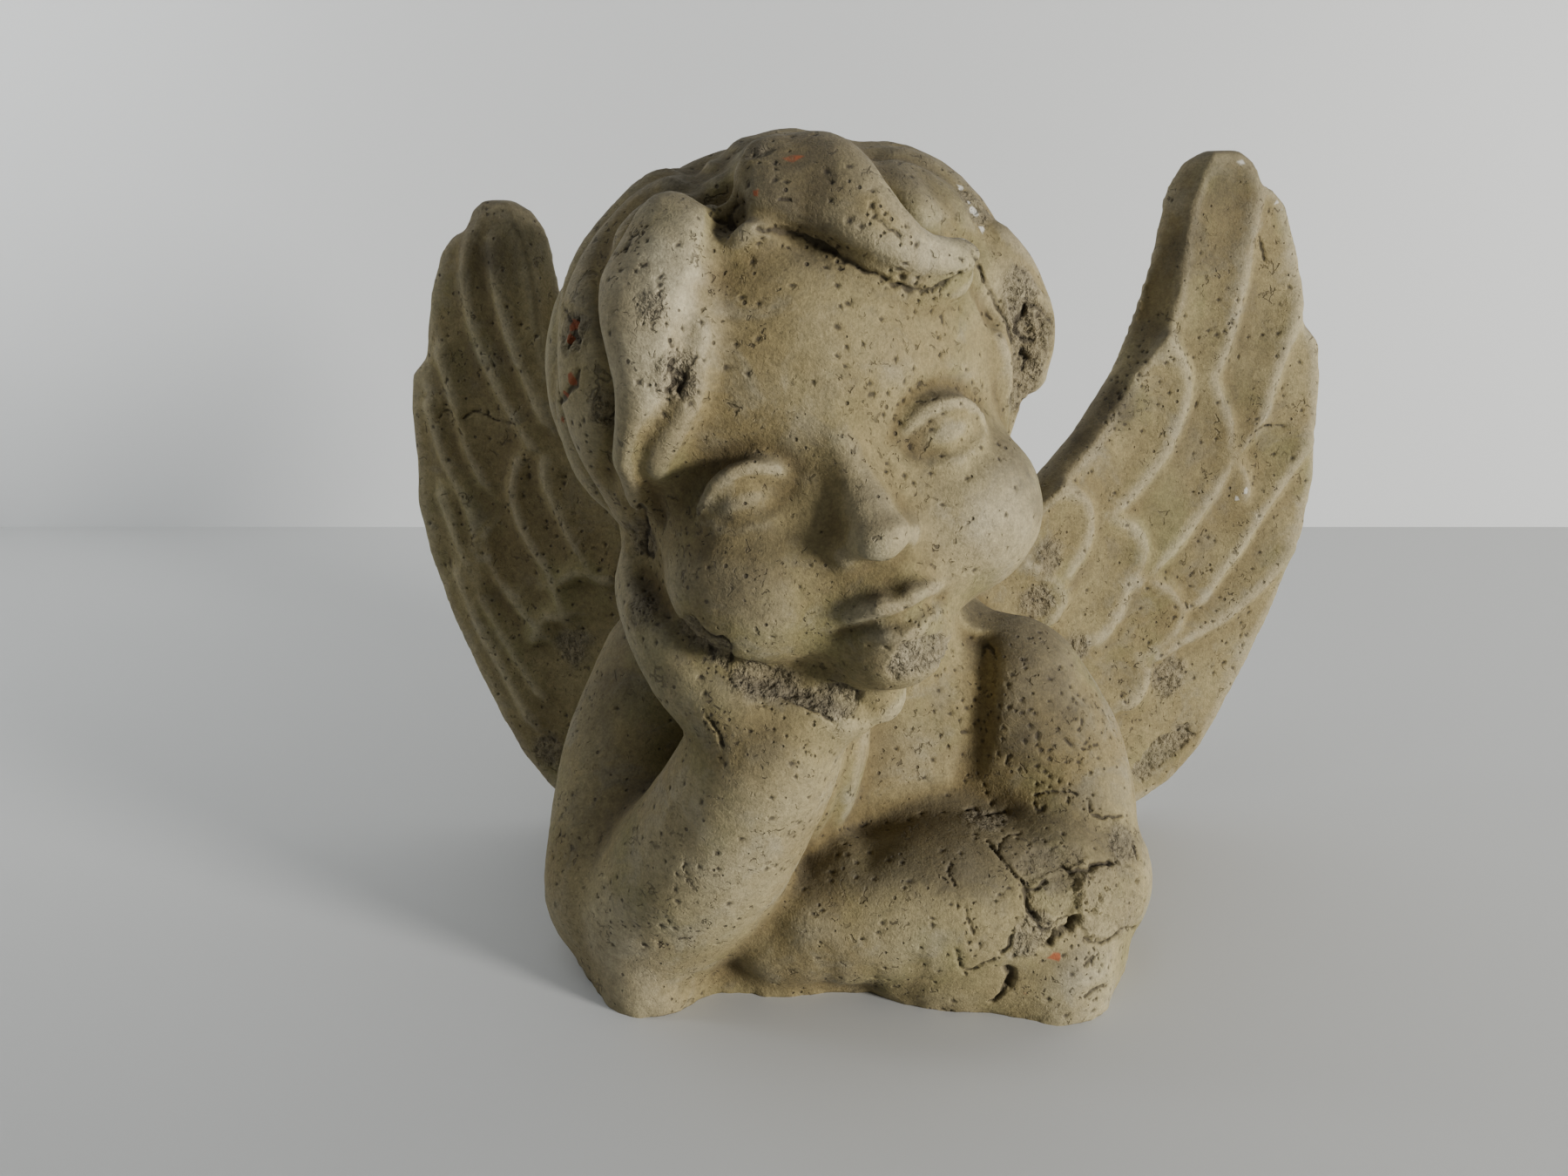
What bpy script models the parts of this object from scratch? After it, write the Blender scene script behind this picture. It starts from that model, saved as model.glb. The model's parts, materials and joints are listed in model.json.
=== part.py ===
"""Cherub bust in cast concrete: a winged child leaning its cheek on one hand, one solid piece.

The figure looks along -Y, +X is on the viewer's right and +Z is up.  The origin is in the middle
of the flat underside.  Lengths are in metres; the carving is laid out in figure units, which are
shares of the figure's own height.
"""

import math

import bmesh
import bpy
import numpy as np
from mathutils import Euler, Matrix, Vector

# Driving dimensions
HEIGHT = 0.250
WING_THICKNESS = 0.017
FEATHER_RELIEF = 0.0038
CONCRETE_COLOUR = (0.37, 0.32, 0.21, 1.0)

# Figure unit: the carving below is laid out on a figure 250 units high
UNIT = HEIGHT / 250

# Fineness of the sculpting skin, and the triangles kept in the finished solid
COARSE = 2.2 * UNIT
FINE = 1.3 * UNIT
TRIANGLES = 9400

# Where the face is in the head, and how much more of its fineness is kept than the rest's
FACE_MIDDLE = (0, -50, -20)
FACE_REACH = (48, 34, 56)
FACE_CARE = 0.006

# Pose of the head: its centre, and how far it turns, nods back and leans on the hand
HEAD_CENTRE = (-18, -27, 173)
HEAD_TURN = math.radians(10)
HEAD_NOD = math.radians(-8)
HEAD_LEAN = math.radians(-16)
SKULL_CENTRE = (2, 9, 12)
SKULL_RADII = (60, 64, 59)

# Wing surface: where it leaves the back, how it sweeps away and how it leans back with height
WING_ROOT = (35, 34)
WING_SWEEP = 0.5
WING_RETURN = 0.0016
WING_LEAN = 0.05
WING_WAIST = 120
LEFT_WING_REACH = 0.905
LEFT_WING_RISE = 0.935
LEFT_WING_LEAN = 0.04

# Outline of the viewer's right wing, as reach and height
WING_OUTLINE = (
    (30, 20), (30, 96), (48, 118), (65, 136), (80, 152), (93, 172), (101, 191), (107, 215), (109, 231),
    (111, 237), (115, 243.5), (122, 247), (132, 247), (137, 243), (140, 236), (145, 235), (151, 229),
    (157, 214), (160, 201), (162, 190), (169, 183), (171, 169), (171, 151), (173, 133), (170, 112),
    (163, 86), (156, 67), (148, 48), (139, 30), (128, 17), (112, 8), (80, 5),
)

# Raised edges of the feathers on that wing, and the line where its front turns into the thick inner edge
FEATHER_EDGES = (
    ((140, 238), (138, 218), (136, 201), (133, 184), (129, 172)),
    ((159, 197), (155, 181), (152, 170), (148, 156), (140, 143), (132, 129), (121, 113), (107, 99)),
    ((110, 186), (115, 180), (119, 173), (119, 164), (116, 155), (112, 145), (104, 135), (95, 126)),
    ((129, 171), (133, 163), (137, 155), (139, 144)),
    ((168, 148), (163, 139), (157, 129), (151, 120), (146, 110), (140, 102), (132, 91), (124, 87)),
    ((141, 143), (145, 136), (146, 130)),
    ((166, 108), (155, 94), (142, 83), (130, 77), (117, 70)),
    ((74, 137), (83, 132), (86, 124), (84, 114), (78, 105)),
    ((94, 125), (103, 120), (108, 112), (107, 104), (102, 97)),
    ((102, 97), (100, 90), (96, 83), (91, 79)),
    ((112, 100), (121, 94), (125, 85), (121, 77), (112, 71)),
    ((67, 110), (74, 104), (77, 96), (74, 90)),
    ((110, 71), (113, 63), (110, 55), (106, 52)),
)
LEFT_FEATHER_EDGES = (
    ((137, 235), (141, 225), (141, 208), (138, 194), (132, 179), (126, 167), (121, 158)),
    ((130, 232), (129, 215), (126, 200), (121, 184), (115, 169)),
    ((155, 192), (151, 171), (148, 156), (143, 144)),
    ((162, 172), (159, 156), (155, 144), (150, 131), (149, 113), (149, 102)),
    ((128, 152), (131, 140), (127, 124), (119, 110), (115, 94)),
    ((117, 153), (116, 143), (110, 128), (104, 116), (101, 111)),
    ((145, 124), (143, 110), (133, 95), (125, 85)),
    ((117, 105), (106, 111), (95, 109)),
    ((161, 138), (156, 118), (149, 97), (139, 77), (129, 60)),
    ((126, 84), (122, 91), (113, 93)),
    ((158, 107), (151, 85), (142, 66), (134, 48)),
)
WING_SHOULDER = (
    (122, 246), (119, 238), (116, 228), (114.5, 213), (114, 202), (111.5, 190), (106, 181), (98, 170),
    (88, 154), (75, 139), (56, 119), (36, 100),
)
INNER_EDGE_SLOPE = 1.3

# Locks of hair over the brow: rows of longitude, latitude and half width on the skull
FRONT_LOCKS = (
    (
        (-12, 37, 6), (-6, 41, 10), (3, 43.5, 12.5), (12, 42.5, 13.5), (17, 36, 12.5), (19, 28, 10.5),
        (22, 21, 8.5), (28, 15.5, 7.5), (35, 13.5, 8), (41, 14, 6.5),
    ),
    (
        (-14, 38, 6), (-22, 41, 9.5), (-29, 37, 12.5), (-33, 28, 14), (-35, 18, 13), (-37, 8, 11),
        (-43, 0, 9), (-51, -7, 7), (-58, -16, 5),
    ),
)
SIDE_LOCKS = (
    ((0, 56, 7), (16, 63, 10), (38, 56, 11), (45, 40, 9.5), (44, 27, 8), (48, 18, 6)),
    ((30, 64, 9), (48, 52, 10), (56, 37, 10), (60, 22, 10), (63, 8, 10), (66, -5, 9)),
    ((58, -8, 8), (63, -20, 10), (66, -34, 9)),
    ((20, 74, 8), (58, 68, 9), (78, 46, 9), (84, 24, 9), (88, 2, 8), (90, -18, 7)),
    ((-24, 58, 7), (-44, 58, 10), (-62, 47, 11), (-68, 32, 12), (-67, 16, 12), (-68, 0, 11), (-73, -20, 9)),
    ((-34, 70, 8), (-68, 64, 11), (-84, 42, 12), (-89, 18, 12), (-89, -6, 11), (-87, -28, 8)),
)
RIGHT_TUFT = ((65, 14, 7), (68, 4, 10), (70, -6, 11), (69, -15, 8))

# Sharp crests and the grooves of the hair: width, height and path
HAIR_CRESTS = (
    (7.0, 3.4, ((-32, 46), (-42, 43), (-45, 36), (-43, 26), (-39, 14), (-41, 4), (-47, -5))),
    (6.5, 2.6, ((-2, 49), (9, 53), (18, 52), (20, 45), (19, 37), (19, 30), (22, 23), (28, 18), (37, 16))),
    (2.4, 1.0, ((28, 12), (34, 9.5), (41, 11), (45, 15))),
)
HAIR_GROOVES = (
    (2.3, 3.6, ((-13, 38), (-17, 31), (-18, 26), (-22, 20), (-26, 14), (-29, 7), (-35, 1), (-44, -6), (-56, -22))),
    (1.5, 2.8, ((-13, 37), (-4, 33), (4, 27), (10, 21), (18, 13.5), (27, 9), (34, 8), (42, 10), (47, 15))),
    (4.5, 3.4, ((54, 50), (42, 43), (34, 35), (31, 27), (35, 22), (43, 20), (50, 15))),
    (3.6, 3.6, ((-30, 57), (-46, 56), (-57, 48), (-56, 39), (-53, 29), (-49, 17), (-50, 8), (-57, -1), (-65, -9))),
    (4.5, 4.2, ((-12, 39), (-14, 44), (-18, 52), (-23, 60), (-27, 67), (-34, 75))),
    (2.6, 2.0, ((-44, 66), (-66, 60), (-78, 46), (-78, 30), (-76, 16), (-77, 2), (-79, -12), (-80, -26))),
    (2.6, 1.8, ((-8, 50), (4, 59), (24, 63), (46, 54), (56, 42), (60, 30), (58, 20), (60, 10), (66, 2))),
    (2.0, 1.8, ((46, 17), (47, 9), (50, 2), (53, -5), (57, -12), (57, -20), (61, -30), (60, -40))),
    (2.0, 1.2, ((-12, 52), (4, 66), (36, 68), (64, 54), (70, 36), (70, 20))),
    (2.0, 1.3, ((-20, 66), (-52, 72), (-84, 62), (-96, 42), (-99, 20), (-99, 2), (-98, -16))),
)

# Folds where the limbs meet the chest, and worn lines of the hands, as rows of x and z in front view
FOLDS = (
    (5.0, 3.0, -8, ((38, 108), (38, 89), (37, 75), (35, 63))),
    (2.2, 2.4, -30, ((3, 96), (0, 88), (-2, 79), (-4, 69), (-6, 59), (-9, 50))),
    (3.4, 2.2, -20, ((2, 49), (10, 53), (20, 56), (30, 57), (41, 55), (52, 51), (60, 45))),
    (2.6, 3.2, -30, ((-60, 136), (-47, 123), (-33, 116), (-20, 112), (-8, 109), (0, 104))),
    (3.4, 0.8, -40, ((-11, 25), (-9, 15), (-11, 5))),
    (3.4, 0.8, -40, ((16, 22), (17, 13), (14, 5))),
    (3.4, 0.8, -40, ((3, 18), (4, 12), (3, 6))),
)
BACK_LOCK = ((-12, 66, 9), (-2, 44, 12), (6, 20, 13), (-3, -4, 12), (4, -28, 8))
BACK_LOCKS = 8


def units(values):
    """Figure units as metres."""
    return np.asarray(values, float) * UNIT


def head_frame():
    """Matrix from the head's own axes to the figure's."""
    turn = (
        Matrix.Rotation(HEAD_TURN, 4, "Z")
        @ Matrix.Rotation(HEAD_NOD, 4, "X")
        @ Matrix.Rotation(HEAD_LEAN, 4, "Y")
    )
    return Matrix.Translation(Vector(units(HEAD_CENTRE))) @ turn


HEAD = head_frame()


def sky(longitude, latitude):
    """A direction out of the skull in the head's axes: longitude 0 is the face, 90 the viewer's right."""
    a, b = math.radians(longitude), math.radians(latitude)
    return np.array((math.sin(a) * math.cos(b), -math.cos(a) * math.cos(b), math.sin(b)))


def smooth_path(points, steps=8):
    """A Catmull-Rom curve through rows of numbers, with this many steps between two rows."""
    rows = np.asarray(points, float)
    rows = np.vstack([2 * rows[0] - rows[1], rows, 2 * rows[-1] - rows[-2]])
    made = []
    for a, b, c, d in zip(rows, rows[1:], rows[2:], rows[3:]):
        for t in np.arange(steps) / steps:
            bend = (2 * a - 5 * b + 4 * c - d) * t**2 + (3 * b - a - 3 * c + d) * t**3
            made.append(0.5 * (2 * b + (c - a) * t + bend))
    made.append(rows[-2])
    return np.array(made)


def path_distance(points, path):
    """How far each point is from a path, and on which side of it for flat points."""
    nearest = np.full(len(points), np.inf)
    side = np.zeros(len(points))
    for a, b in zip(path, path[1:]):
        along = b - a
        share = ((points - a) @ along / (along @ along)).clip(0, 1)
        off = points - (a + share[:, None] * along)
        far = np.linalg.norm(off, axis=1)
        closer = far < nearest
        nearest[closer] = far[closer]
        if points.shape[1] == 2:
            side[closer] = np.sign(along[0] * off[closer, 1] - along[1] * off[closer, 0])
    return nearest, side


class Clay:
    """Lumps of clay that are later fused into one skin."""

    def __init__(self, frame=None):
        self.mesh = bmesh.new()
        self.frame = frame or Matrix.Identity(4)
        ball = bmesh.new()
        bmesh.ops.create_uvsphere(ball, u_segments=24, v_segments=16, radius=1)
        self.ball = bpy.data.meshes.new("ball")
        ball.to_mesh(self.ball)
        ball.free()

    def press(self, shape):
        """One ball of clay, stretched and placed by a matrix."""
        lump = self.ball.copy()
        lump.transform(self.frame @ shape)
        self.mesh.from_mesh(lump)
        bpy.data.meshes.remove(lump)

    def pellet(self, centre, radii, turn=(0, 0, 0)):
        """An ellipsoid; centre and radii in figure units, turn in degrees."""
        tilt = Euler([math.radians(a) for a in turn])
        self.press(Matrix.LocRotScale(Vector(units(centre)), tilt, Vector(units(radii))))

    def roll(self, points, radii, flat=1.0, core=None):
        """A tapered sausage of clay along a smooth path, pressed flat towards the point core."""
        path = smooth_path(np.column_stack([points, radii]))
        for i, (x, y, z, r) in enumerate(path):
            ahead = Vector(path[min(i + 1, len(path) - 1)][:3] - path[max(i - 1, 0)][:3]).normalized()
            out = Vector((x, y, z)) - Vector(core if core else (x, y + 1, z))
            out = (out - out.dot(ahead) * ahead).normalized()
            axes = Matrix((ahead * r, out.cross(ahead) * r, out * r * flat)).transposed()
            self.press(Matrix.Translation(Vector(units((x, y, z)))) @ (axes * UNIT).to_4x4())

    def add(self, mesh):
        self.mesh.from_mesh(mesh)

    def fuse(self, voxel):
        """One closed skin round all of the clay."""
        mesh = bpy.data.meshes.new("clay")
        self.mesh.to_mesh(mesh)
        self.mesh.free()
        bpy.data.meshes.remove(self.ball)
        lump = bpy.data.objects.new("clay", mesh)
        bpy.context.scene.collection.objects.link(lump)
        remesh = lump.modifiers.new("Fuse", "REMESH")
        remesh.mode = "VOXEL"
        remesh.voxel_size = voxel
        graph = bpy.context.evaluated_depsgraph_get()
        fused = bpy.data.meshes.new_from_object(lump.evaluated_get(graph))
        bpy.data.objects.remove(lump)
        bpy.data.meshes.remove(mesh)
        return Skin(fused)


class Skin:
    """A closed skin whose points can be pushed about like soft clay."""

    def __init__(self, mesh):
        self.mesh = mesh
        count = len(mesh.vertices)
        self.points = np.empty(count * 3, np.float32)
        mesh.vertices.foreach_get("co", self.points)
        self.points = self.points.reshape(-1, 3).astype(float)
        edges = np.empty(len(mesh.edges) * 2, np.int32)
        mesh.edges.foreach_get("vertices", edges)
        edges = edges.reshape(-1, 2)
        self.ends = np.concatenate([edges, edges[:, ::-1]])
        self.valence = np.bincount(self.ends[:, 0], minlength=count)

    def write(self):
        self.mesh.vertices.foreach_set("co", self.points.astype(np.float32).ravel())
        self.mesh.update()

    def normals(self):
        self.write()
        found = np.empty(len(self.points) * 3, np.float32)
        self.mesh.vertex_normals.foreach_get("vector", found)
        return found.reshape(-1, 3).astype(float)

    def towards_neighbours(self):
        """How far each point is from the middle of its neighbours."""
        a, b = self.ends.T
        middle = [np.bincount(a, self.points[b, k], len(self.points)) for k in range(3)]
        return np.column_stack(middle) / self.valence[:, None] - self.points

    def fill_creases(self, passes, share=1.0):
        """Fills only what is hollow, so that meeting forms run into each other."""
        for i in range(passes):
            if i % 5 == 0:
                normals = self.normals()
            rise = np.einsum("ij,ij->i", self.towards_neighbours(), normals).clip(0)
            self.points += normals * (0.8 * share * rise)[:, None]

    def relax(self, passes, share=0.5):
        """Evens the skin all over."""
        for _ in range(passes):
            self.points += share * self.towards_neighbours()

    def seen_from(self, frame):
        """Each point in the frame's own axes, in figure units."""
        return (self.points - frame.translation) @ np.array(frame.to_3x3()) / UNIT

    def stroke(self, places, path, width, rise):
        """Raises a rounded ridge along a path over flat places, or a groove where rise is negative."""
        far, _ = path_distance(places, smooth_path(path))
        self.points += self.normals() * (rise * UNIT * np.exp(-((far / width) ** 2)))[:, None]

    def front_stroke(self, frame, path, width, rise, front):
        """A stroke drawn in front view, as rows of x and z, on what lies before the plane y = front."""
        x, y, z = self.seen_from(frame).T
        self.stroke(np.column_stack([x, z + np.where(y < front, 0, 1000)]), path, width, rise)

    def hair_stroke(self, path, width, rise):
        """A stroke over the skull, as rows of longitude and latitude."""
        out = self.seen_from(HEAD) - SKULL_CENTRE
        size = np.linalg.norm(out, axis=1)
        out = out / size[:, None] * SKULL_RADII[1] + np.where(size < 40, 1000, 0)[:, None]
        self.stroke(out, [sky(a, b) * SKULL_RADII[1] for a, b in path], width, rise)

    def swell(self, centre, radius, move, frame=None):
        """Drags a soft round patch of the skin by a move, in figure units."""
        middle, move = Vector(units(centre)), Vector(units(move))
        if frame:
            middle, move = frame @ middle, frame.to_3x3() @ move
        far = np.linalg.norm(self.points - np.array(middle), axis=1) / (radius * UNIT)
        self.points += np.exp(-(far**2))[:, None] * np.array(move)

    def clay(self):
        """The skin as clay again, to add more to."""
        self.write()
        more = Clay()
        more.add(self.mesh)
        bpy.data.meshes.remove(self.mesh)
        return more


def torso(voxel):
    """Chest, back, shoulders and the upper arms that run down to the elbows."""
    clay = Clay()
    clay.pellet((2, 8, 34), (74, 44, 46))
    clay.pellet((2, 12, 74), (60, 36, 40))
    clay.pellet((0, 26, 84), (50, 24, 40))
    clay.roll([(-58, 6, 84), (-69, -6, 56), (-72, -26, 24)], [25, 26, 27])
    clay.roll([(51, -2, 80), (65, -6, 56), (66, -26, 24)], [25, 25, 26])
    clay.pellet((-63, -46, 4), (17, 17, 28))
    clay.pellet((-61, -27, 6), (28, 29, 32))
    clay.pellet((34, -30, 13), (46, 34, 28))
    clay.pellet((60, -48, 4), (19, 18, 28))
    clay.pellet((60, -27, 5), (29, 30, 30))
    clay.pellet((2, 2, 12), (74, 46, 32))
    clay.pellet((-22, -34, 0), (30, 19, 15))
    skin = clay.fuse(voxel)
    skin.fill_creases(60)
    skin.relax(4)
    return skin


def skull(body, voxel):
    """Neck, skull and the big forms of a plump child's face."""
    clay = body.clay()
    clay.roll([(4, 8, 84), (-8, -8, 124)], [34, 36])
    clay.frame = HEAD
    clay.pellet(SKULL_CENTRE, SKULL_RADII)
    clay.pellet((0, -12, -20), (50, 42, 44))
    clay.pellet((0, -15, -46), (36, 33, 20))
    clay.pellet((0, -16, 14), (49, 38, 42))
    for side in (-1, 1):
        clay.pellet((side * 26.5, -28, -33), (25, 25, 24))
    clay.pellet((0, -40, -59), (16, 16, 12))
    clay.pellet((0, -43, -43), (18, 13, 14))
    skin = clay.fuse(voxel)
    skin.fill_creases(25)
    skin.relax(6)
    for side in (-1, 1):
        skin.swell((side * 22, -50, -8), 13, (0, 3.4, 0), HEAD)
    return skin


def arms(body, voxel):
    """The folded forearm with its hand, the raised forearm and the hand under the cheek."""
    clay = body.clay()
    clay.roll([(68, -24, 26), (44, -38, 27), (8, -42, 27), (-22, -40, 20)], [27, 27, 24, 20])
    clay.pellet((-6, -50, 27), (22, 15, 15), (0, 12, 0))
    clay.roll([(-60, -36, 24), (-44, -50, 50), (-30, -60, 80), (-25, -62, 92)], [27, 25, 22, 20])
    palm = [(-25, -62, 92), (-34, -60, 103), (-46, -56, 113), (-56, -48, 126), (-60, -38, 142)]
    clay.roll(palm, [19, 18, 15, 12, 9])
    clay.roll([(-28, -62, 98), (-12, -65, 103), (2, -63, 105)], [17, 13, 9])
    clay.pellet((-17, -33, 82), (21, 22, 40))
    skin = clay.fuse(voxel)
    skin.fill_creases(8)
    skin.relax(3)
    return skin


def lay_lock(clay, path, lift, flat=0.6):
    """A lock of hair laid on the skull."""
    points = [SKULL_CENTRE + sky(a, b) * (np.array(SKULL_RADII) + lift) for a, b, _ in path]
    clay.roll(points, [r for _, _, r in path], flat, core=SKULL_CENTRE)


def hair_and_features(body, voxel):
    """The cap of hair with its locks, the nose, lips and eyes."""
    clay = body.clay()
    clay.frame = HEAD
    clay.pellet((3, 16, 15), (62, 63, 60))
    clay.pellet((31, 3, 26), (38, 40, 40))
    clay.pellet((14, 4, 30), (40, 40, 42))
    for path in FRONT_LOCKS:
        lay_lock(clay, path, 2, 0.75)
    for path in SIDE_LOCKS:
        lay_lock(clay, path, 0)
    lay_lock(clay, RIGHT_TUFT, 6, 0.8)
    for i in range(BACK_LOCKS):
        turn = 100 + 23 * i
        lay_lock(clay, [(turn + a, b, r) for a, b, r in BACK_LOCK], 0)
    clay.roll([(0, -46, 2), (0, -50, -12), (0, -55, -24)], [7, 6, 7])
    clay.pellet((0, -57, -28), (8, 8, 6.5))
    for side in (-1, 1):
        clay.pellet((side * 6.5, -52, -30), (5, 6, 4.5))
        clay.pellet((side * 25, -36, -11), (11.5, 13.6, 7))
        lid = [(12.5, -45.5, -12), (18, -48, -6), (25, -48.6, -3.8), (32, -46.4, -5.5), (38, -41.5, -11)]
        clay.roll([(side * x, y, z) for x, y, z in lid], [1.2, 2.2, 2.6, 2.2, 1.2])
        lid = [(13, -45.5, -13), (19, -47.5, -17), (26, -47.8, -18.2), (33, -45, -16.5), (38, -41.5, -12)]
        clay.roll([(side * x, y, z) for x, y, z in lid], [1.0, 1.8, 2.0, 1.8, 1.0])
    upper_lip = [(-11, -52, -46), (-4, -57, -44.5), (0, -56.5, -45), (4, -57, -44.5), (11, -52, -46)]
    clay.roll(upper_lip, [2, 3.4, 3, 3.4, 2])
    clay.roll([(-9, -52, -51), (0, -56, -52), (9, -52, -51)], [2.2, 4, 2.2])
    skin = clay.fuse(voxel)
    skin.fill_creases(5)
    skin.relax(1)
    for side in (-1, 1):
        crease = [(side * a, b) for a, b in ((12, -8), (17, -1.5), (25, 1.5), (33, -0.5), (40, -8))]
        skin.front_stroke(HEAD, crease, 1.8, -1.4, -20)
        slit = [(side * a, b) for a, b in ((14, -11.5), (19, -8.2), (25, -6.8), (31, -8), (36.5, -11.5))]
        skin.front_stroke(HEAD, slit, 1.2, -1.1, -20)
        slit = [(side * a, b) for a, b in ((14, -12.5), (20, -14.6), (26, -15.4), (32, -14.4), (37, -12.5))]
        skin.front_stroke(HEAD, slit, 1.1, -0.8, -20)
        skin.swell((side * 4, -58, -35), 2.6, (0, 1, 2.6), HEAD)
    skin.front_stroke(HEAD, ((-14, -49.6), (-6, -48.2), (0, -49), (6, -48.2), (14, -49.6)), 1.6, -2.4, -35)
    skin.front_stroke(HEAD, ((0, -37), (0, -42)), 2.2, -1, -45)
    for width, height, path in HAIR_CRESTS:
        skin.hair_stroke(path, width, height)
    for width, depth, path in HAIR_GROOVES:
        skin.hair_stroke(path, width, -depth)
    for i in range(BACK_LOCKS):
        turn = 111 + 23 * i
        skin.hair_stroke([(turn + a, b) for a, b, _ in BACK_LOCK], 2.2, -1.6)
    for width, depth, front, path in FOLDS:
        skin.front_stroke(Matrix.Identity(4), path, width, -depth, front)
    return skin


def wing_depth(p, q):
    """How far back the middle of the wing is, at reach p and height q."""
    away = np.clip(p - WING_ROOT[0], 0, None)
    return WING_ROOT[1] + WING_SWEEP * away - WING_RETURN * away**2 + WING_LEAN * (q - WING_WAIST)


def feather_relief(places, edges):
    """Height of the feathers' raised edges at flat places on the wing, in figure units."""
    height = np.zeros(len(places))
    for edge in edges:
        far, turned = path_distance(places, smooth_path(edge))
        step, vane = np.exp(-((far / 3) ** 2)), 1 / (1 + (far / 6) ** 2)
        height = np.maximum(height, np.where(turned > 0, step, vane))
    return height * FEATHER_RELIEF / UNIT


def wing(side, reach, rise, lean, edges, voxel):
    """A wing: a slab cut to the outline, feathered on its front, then bent back."""
    round_over = 3 * UNIT
    outline = bpy.data.curves.new("wing outline", "CURVE")
    outline.dimensions = "2D"
    outline.fill_mode = "BOTH"
    outline.extrude = WING_THICKNESS / 2 - round_over
    outline.bevel_depth = round_over
    outline.bevel_resolution = 2
    outline.offset = -round_over
    spline = outline.splines.new("POLY")
    spline.points.add(len(WING_OUTLINE) - 1)
    for point, (p, q) in zip(spline.points, WING_OUTLINE):
        point.co = (p * UNIT, q * UNIT, 0, 1)
    spline.use_cyclic_u = True
    flat = bpy.data.objects.new("wing outline", outline)
    bpy.context.scene.collection.objects.link(flat)
    slab = Clay()
    graph = bpy.context.evaluated_depsgraph_get()
    slab.add(bpy.data.meshes.new_from_object(flat.evaluated_get(graph)))
    bpy.data.objects.remove(flat)
    bmesh.ops.remove_doubles(slab.mesh, verts=slab.mesh.verts, dist=0.02 * UNIT)
    skin = slab.fuse(voxel)
    skin.relax(2)
    p, q, depth = skin.points.T / UNIT
    depth = -depth
    places = np.column_stack([p, q])
    front = np.clip(0.5 - depth / 6, 0, 1)
    taper = 1 - 0.42 * np.clip((p - 70) / 100, 0, 1)
    depth *= taper
    far, turned = path_distance(places, smooth_path(WING_SHOULDER))
    inner = np.where(turned > 0, 0, far)
    depth += front * np.minimum(INNER_EDGE_SLOPE * inner, WING_THICKNESS / UNIT * taper - 4)
    relief = feather_relief(places, edges) * np.clip(1 - inner / 3, 0, 1)
    depth += relief * np.where(front > 0.5, -front, 0.4 * (1 - front))
    p, q = p * reach + lean * (q - WING_WAIST), q * rise
    skin.points = units(np.column_stack([side * p, wing_depth(p, q) + depth, q]))
    skin.write()
    if side > 0:
        skin.mesh.flip_normals()
    return skin.mesh


def wings(body, voxel):
    """Both wings, grown out of the back."""
    clay = body.clay()
    clay.add(wing(1, 1, 1, 0, FEATHER_EDGES, voxel))
    clay.add(wing(-1, LEFT_WING_REACH, LEFT_WING_RISE, LEFT_WING_LEAN, LEFT_FEATHER_EDGES, voxel))
    skin = clay.fuse(voxel)
    skin.fill_creases(3)
    return skin


def sculpt(coarse, fine):
    """The whole figure as one closed mesh, before its underside is cut flat."""
    body = torso(coarse)
    body = skull(body, coarse)
    body = arms(body, fine)
    body = hair_and_features(body, fine)
    body = wings(body, fine)
    body.write()
    return body.mesh


def clear_scene():
    for obj in list(bpy.data.objects):
        bpy.data.objects.remove(obj)


def reduce_and_cut(mesh, triangles):
    """Keeps this many triangles, and cuts the underside flat at the floor."""
    rough = bpy.data.objects.new("rough", mesh)
    bpy.context.scene.collection.objects.link(rough)
    face = rough.vertex_groups.new(name="face")
    away = (Skin(mesh).seen_from(HEAD) - FACE_MIDDLE) / FACE_REACH
    for share in (1, 2, 3, 4):
        inside = (np.linalg.norm(away, axis=1) < 1.3 - 0.2 * share).nonzero()[0]
        face.add(inside.tolist(), 0.2 * share, "REPLACE")
    fewer = rough.modifiers.new("Fewer triangles", "DECIMATE")
    fewer.ratio = triangles / (2 * len(mesh.polygons))
    fewer.vertex_group = face.name
    fewer.invert_vertex_group = True
    fewer.vertex_group_factor = FACE_CARE
    graph = bpy.context.evaluated_depsgraph_get()
    cut = bmesh.new()
    cut.from_object(rough, graph)
    bpy.data.objects.remove(rough)
    everything = cut.verts[:] + cut.edges[:] + cut.faces[:]
    made = bmesh.ops.bisect_plane(
        cut, geom=everything, dist=0.05 * UNIT, plane_co=(0, 0, 0), plane_no=(0, 0, -1), clear_outer=True
    )
    rim = [e for e in made["geom_cut"] if isinstance(e, bmesh.types.BMEdge)]
    bmesh.ops.edgeloop_fill(cut, edges=rim)
    bmesh.ops.triangulate(cut, faces=cut.faces)
    bmesh.ops.recalc_face_normals(cut, faces=cut.faces)
    solid = bpy.data.meshes.new("cherub_bust")
    cut.to_mesh(solid)
    cut.free()
    solid.shade_smooth()
    solid.set_sharp_from_angle(angle=math.radians(60))
    return solid


def concrete():
    material = bpy.data.materials.new("cast concrete")
    material.use_nodes = True
    shader = material.node_tree.nodes["Principled BSDF"]
    shader.inputs["Base Color"].default_value = CONCRETE_COLOUR
    shader.inputs["Roughness"].default_value = 0.9
    shader.inputs["Metallic"].default_value = 0.0
    return material


def main():
    clear_scene()
    solid = reduce_and_cut(sculpt(COARSE, FINE), TRIANGLES)
    solid.materials.append(concrete())
    cherub = bpy.data.objects.new("cherub_bust", solid)
    collection = bpy.data.collections.new("cherub bust")
    bpy.context.scene.collection.children.link(collection)
    collection.objects.link(cherub)
    return cherub


cherub = main()
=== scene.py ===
"""Looks of a cast concrete cherub bust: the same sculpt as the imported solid, weathered, on a pale stage."""

import json
import math

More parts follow.
